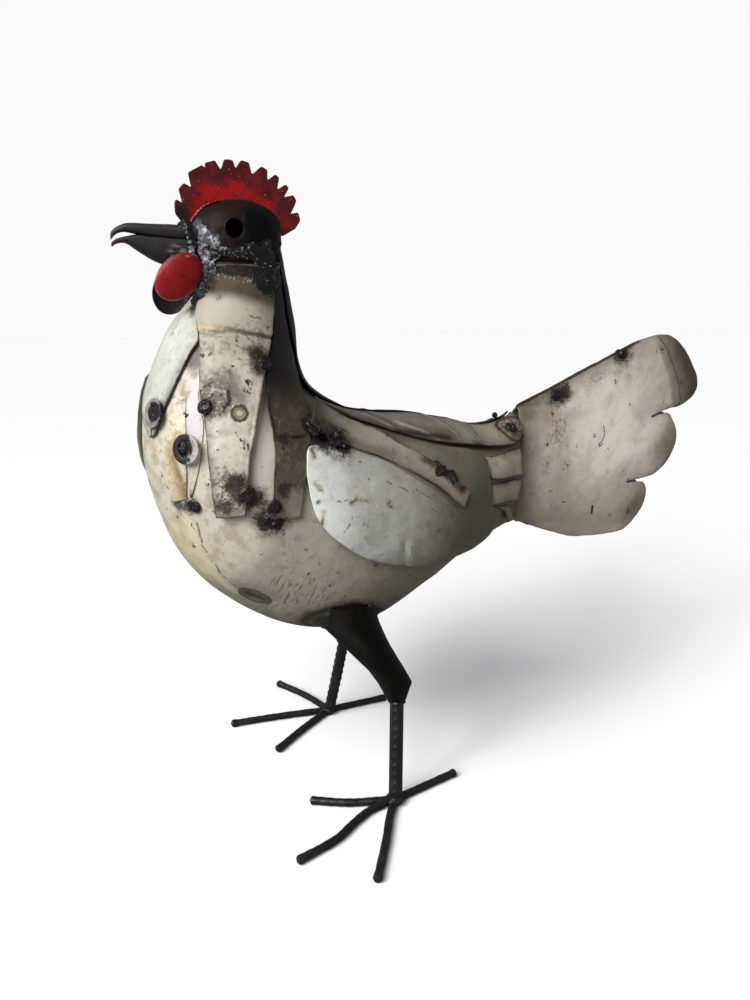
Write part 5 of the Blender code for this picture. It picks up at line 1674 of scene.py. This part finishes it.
def make_spot_welds(paint):
    bm = bmesh.new()
    for k, (station, degrees, radius, height, lift, both) in enumerate(SHELL_WELDS):
        for side, seed in ((LEFT, k), (RIGHT, k + 30))[:1 + both]:
            place = at(station, side * degrees, lift)
            weld_spot(bm, place, SHELL.normal(station, side * degrees), radius, height, seed, 0.55)
    for k, (y, z, radius) in enumerate(TAIL_WELDS):
        for side in SIDES:
            weld_spot(bm, (side * 2.4, y, z), (side, 0, 0), radius, 1.9, 60 + 2 * k + side, 0.3)
    weld_spot(bm, (0, 31.3, 281.5), (0, 0, 1), 2.3, 2.4, 70)
    finish_mesh("spot_welds", bm, paint)


def join(bm, other):
    """Puts the other bmesh into the first."""
    mesh = mesh_of("spare", other)
    bm.from_mesh(mesh)
    bpy.data.meshes.remove(mesh)


def lumps(bm, form, spots, half_width, size, count, seed, lift):
    """Lumps of weld scattered along a line on the head or the shell, thickest in its middle."""
    chance = random.Random(seed)
    spots = np.array(spots, float)
    for k in range(count):
        station, degrees = track(spots, (k + chance.random()) / count * (len(spots) - 1))
        normal = Vector(form.normal(station, degrees))
        aside = normal.orthogonal().normalized()
        aside.rotate(Quaternion(normal, chance.uniform(0, math.tau)))
        reach = chance.random() ** 0.7
        middle = Vector(form.point(station, degrees, lift)) + aside * (reach * half_width)
        radius = size * (1.15 - 0.55 * reach) * chance.uniform(0.7, 1.25)
        weld_spot(bm, middle, normal, radius, radius * chance.uniform(0.45, 0.8), seed + k, 0.0, 3)


def crust(form, edges, side, lift, height, seed, size=(44, 110)):
    """A lumpy skin of weld and burnt enamel between two lines on the head or the shell."""
    def place(turn, length):
        first, second = (track(edge, length * (len(edge) - 1)) for edge in edges)
        across = 0.5 - 0.5 * np.cos(turn)
        station, degrees = (first + (second - first) * across[:, None]).T
        base = form.point(station, side * degrees)
        station = station + 0.13 * waves(base, 5, seed + 2)
        degrees = degrees + 5 * waves(base, 5, seed + 3)
        ends = np.sqrt(np.clip(1 - (2 * length - 1) ** 6, 0, 1))
        lump = np.maximum(0.55 + 1.0 * waves(base, 4.5, seed) + 0.8 * waves(base, 2.1, seed + 1), 0.08)
        rise = np.where(np.sin(turn) > 0, height * np.sin(turn) * lump, (1 + lift) * np.sin(turn)) * ends
        return form.point(station, side * degrees, lift * ends + rise)
    return rolled(*size, place)


JAW_CRUSTS = (       # form, its two edges as (station, degrees), how far it stands off, its height
    (SKULL, (((3.0, 12), (3.1, 30), (3.3, 45), (3.35, 60), (3.45, 76), (3.6, 94)),
             ((3.6, 12), (4.0, 30), (4.0, 45), (3.95, 60), (4.1, 76), (4.35, 94))), 0.2, 1.7),
    (SKULL, (((1.9, 5), (2.6, 7), (3.5, 8)), ((2.1, 15), (2.7, 19), (3.6, 34))), 0.2, 1.5),
    (SKULL, (((3.3, 16), (4.0, 15), (4.95, 12)), ((3.3, 42), (4.0, 42), (4.95, 40))), 0.6, 2.0),
    (SHELL, (((0.1, 8), (0.5, 8), (0.95, 14), (1.33, 12)), ((0.1, 36), (0.5, 37), (0.95, 41), (1.33, 35))),
     3.0, 2.6),
    (SKULL, (((3.3, 88), (4.1, 92), (4.98, 98)), ((3.0, 128), (4.0, 130), (4.98, 132))), 0.1, 1.1),
    (SHELL, (((0.25, 92), (0.7, 98), (1.12, 107)), ((0.25, 130), (0.7, 130), (1.2, 127))), 2.4, 1.9),
)
JAW_LUMPS = (        # form, the line's (station, degrees), half width, lump size, number of lumps
    (SKULL, ((3.4, 20), (3.7, 40), (3.75, 58), (3.95, 76), (4.2, 92)), 2.4, 1.7, 22),
    (SKULL, ((2.0, 10), (2.8, 16), (3.4, 24)), 2.2, 1.6, 12),
)


def make_head_welds(paint):
    bm = bmesh.new()
    for side in SIDES:
        for k, (form, edges, lift, height) in enumerate(JAW_CRUSTS):
            join(bm, crust(form, edges, side, lift, height, 400 + 20 * k + side))
        for k, (form, spots, half_width, size, count) in enumerate(JAW_LUMPS):
            placed = [(station, side * degrees) for station, degrees in spots]
            lumps(bm, form, placed, half_width, size, count, 300 + 50 * k + side, 0.5)
        root = [(0, -207, 416.2), (side * 8.5, -207, 414.5), (side * 11.6, -206, 408),
                (side * 11.8, -205, 399), (side * 9.5, -204, 391), (0, -203, 387.5)]
        join(bm, weld_bead(evenly(root, 0.6), 2.8, 2.8, (0, -1, 0.1), 15 + side))
    weld_spot(bm, (13.5, -149.5, 405.5), (0.6, 0.7, 0.2), 1.9, 1.7, 97, 0.0, 3)
    finish_mesh("jaw_welds", bm, paint)


# Burnt weld where the wing's front corner, its strip and the side strip come together, and what is left
# of a torn-off part along the strip on the wing: two edges, how far it stands off, and its height.
WING_CRUSTS = (
    (((4.1, 127), (4.35, 131), (4.7, 134.5), (5.15, 131.5)),
     ((4.2, 122), (4.5, 124.5), (4.8, 126.5), (5.1, 128)),
     6.0, 1.1),
    (((6.82, 130), (7.1, 126.5), (7.32, 122.5), (7.52, 117.5)),
     ((6.85, 128), (7.08, 122), (7.3, 118), (7.5, 115.5)),
     10.0, 1.5),
)


def make_wing_crusts(paint):
    bm = bmesh.new()
    for side in SIDES:
        for k, (first, second, lift, height) in enumerate(WING_CRUSTS):
            join(bm, crust(SHELL, (first, second), side, lift, height, 600 + 10 * k + side, (40, 70)))
    finish_mesh("wing_welds", bm, paint)


def make_comb_weld(paint):
    bm = bmesh.new()
    for side in SIDES:
        spots = run((2.3, 0), (1.5, 0), (0.8, 0), (0.0, 0), lift=0.4, form=SKULL)
        spots += [np.array(CROWN) + (0, 0, 0.3)]
        spots += run((0.0, 180), (0.8, 180), (1.6, 180), lift=0.4, form=SKULL)
        path = evenly(spots, 0.5) + (side * 1.4, 0, 0)
        join(bm, weld_bead(path, 1.5, 1.1, unit(path - SKULL_MIDDLE), 13 + side))
    finish_mesh("comb_weld", bm, paint)


def thigh_joint(tree, side, turn):
    """Where the line up the thigh's cone at this turn goes into the belly."""
    line = thigh_point(side, np.full(40, turn), np.linspace(0.3, 1.0, 40)) * MM
    for start, end in zip(line, line[1:]):
        way = Vector(end - start)
        spot, normal, _face, _far = tree.ray_cast(Vector(start), way.normalized(), way.length)
        if spot:
            return spot / MM, normal
    return None


def make_thigh_welds(shell, paint):
    """The lumpy bead where each thigh's cone meets the belly."""
    tree = bvhtree.BVHTree.FromPolygons([v.co for v in shell.data.vertices],
                                        [p.vertices for p in shell.data.polygons])
    bm = bmesh.new()
    for side in SIDES:
        for k, turn in enumerate(np.linspace(0, math.tau, 46, endpoint=False)):
            joint = thigh_joint(tree, side, turn)
            if joint:
                size = 2.2 + 0.9 * noise.noise(Vector((k * 0.7, side, 3)))
                weld_spot(bm, joint[0], joint[1], size, size * 0.6, 200 + k, 0.0, 3)
    finish_mesh("thigh_welds", bm, paint)


def make_foot_welds(paint):
    bm = bmesh.new()
    for side in SIDES:
        ankle, knee = leg_ends(side)
        x, y = ankle[:2]
        weld_spot(bm, (x, y, 4.6), (0, 0, 1), 7.2, 3.8, 80 + side)
        weld_spot(bm, (x + side * 4, y - 3.5, 5.5), (side * 0.5, -0.4, 0.8), 3.6, 2.6, 84 + side)
        weld_spot(bm, (x - side * 1, y + 4.5, 5.2), (0, 0.5, 0.8), 3.6, 2.6, 88 + side)
        weld_spot(bm, knee - (0, 0, 0.5), (0, 0, -1), 6.6, 2.2, 92 + side)
    finish_mesh("foot_welds", bm, paint)


# ======== studio


FLOOR_REACH = 9          # metres from its middle to its sides


def make_floor():
    bm = bmesh.new()
    bmesh.ops.create_grid(bm, x_segments=40, y_segments=40, size=FLOOR_REACH)
    mesh = mesh_of("floor", bm)
    floor = place_in_scene("floor", mesh)
    paper = Finish("floor_paper", (0.27, 0.27, 0.27), 0.9, specular=0.0)
    paper.coat((0.25, 0.25, 0.25), paper.clouds(300, 2))
    seen = paper.node("ShaderNodeLightPath").outputs["Is Camera Ray"]
    paper.coat((0.97, 0.97, 0.97), seen)
    mesh.materials.append(paper.done())


def make_light(name, place, aim, size, watts):
    data = bpy.data.lights.new(name, "AREA")
    data.shape = "DISK"
    data.size = size
    data.energy = watts
    light = place_in_scene(name, data)
    light.location = place
    light.rotation_euler = (Vector(aim) - Vector(place)).to_track_quat("-Z", "Y").to_euler()


WINDOW_PLACE, WINDOW_AIM = (0.35, -1.1, 1.0), (0.02, -0.12, 0.3)
WINDOW_SIZE, WINDOW_WATTS = 0.3, 5
SKY_WAY = (-0.42, 0.9, -0.84)
SKY_ENERGY, SKY_SPREAD = 3.6, 48
ROOM = (0.25, 0.25, 0.26, 1)          # what the finishes reflect and are lit by
BACKDROP = (0.95, 0.95, 0.95, 1)      # what the camera sees behind the hen
CAMERA_PLACE, CAMERA_TURN, CAMERA_LENS = (0.479, -0.2885, 0.3641), (74.81, 0, 66), 25.2


def make_studio():
    make_floor()
    make_light("window", WINDOW_PLACE, WINDOW_AIM, WINDOW_SIZE, WINDOW_WATTS)
    sun = place_in_scene("skylight", bpy.data.lights.new("skylight", "SUN"))
    sun.data.energy = SKY_ENERGY
    sun.data.angle = math.radians(SKY_SPREAD)
    sun.rotation_euler = Vector(SKY_WAY).to_track_quat("-Z", "Y").to_euler()
    world = bpy.data.worlds.new("studio")
    bpy.context.scene.world = world
    world.use_nodes = True
    nodes, links = world.node_tree.nodes, world.node_tree.links
    seen = nodes.new("ShaderNodeLightPath")
    mixed = nodes.new("ShaderNodeMix")
    mixed.data_type = "RGBA"
    mixed.inputs[6].default_value = ROOM
    mixed.inputs[7].default_value = BACKDROP
    links.new(seen.outputs["Is Camera Ray"], mixed.inputs[0])
    links.new(mixed.outputs[2], nodes["Background"].inputs["Color"])
    camera = place_in_scene("camera", bpy.data.cameras.new("camera"))
    camera.data.lens = CAMERA_LENS
    camera.location = CAMERA_PLACE
    camera.rotation_euler = [math.radians(angle) for angle in CAMERA_TURN]
    bpy.context.scene.camera = camera
    bpy.context.scene.view_settings.view_transform = "Standard"


def make_hen():
    rod, weld, thigh = rod_paint(), weld_metal(), thigh_enamel()
    socket = black_enamel("eye_enamel", rough=0.5, coat=0.0).done()
    beak, comb = beak_enamel(), red_enamel()
    shell = make_shell()
    make_head()
    for side in SIDES:
        name = "eye_" + SIDE_NAME[side]
        make_ring(name + "_ring", eye_spot(side) - (side * 1.2, 0, 0), (side, 0, 0), *EYE_RING, socket,
                  "black_enamel", [name], seed=130)
        make_wattle(side)
        make_wing(side)
        make_tail(side)
        make_thigh(side, thigh)
        make_leg(side, rod)
    make_beak_half("beak_upper", UPPER_BEAK, beak, seed=140, open_side=-1)
    make_beak_half("beak_lower", LOWER_BEAK, beak, seed=143, open_side=1)
    make_comb(comb)
    make_strips({side: tab_enamel(side) for side in SIDES})
    make_neck_and_breast()
    for name, spot, bright, weld_side, reach in (("washer_upper", (2.95, 28), 0.6, (2.95, 31.5), 6.5),
                                                 ("washer_lower", (3.5, 54), 1.0, (3.45, 49.5), 10.0)):
        steel = washer_steel(name + "_steel", bright, at(*weld_side, 4), reach)
        make_ring(name + "_ring", sum(box(name)) / 2, SHELL.normal(*spot), *WASHER, steel, "burnt_steel",
                  [name], seed=150)
    make_spot_welds(weld)
    make_head_welds(jaw_enamel())
    make_wing_crusts(weld)
    make_comb_weld(comb)
    make_thigh_welds(shell, rod)
    make_foot_welds(rod)


make_studio()
make_hen()
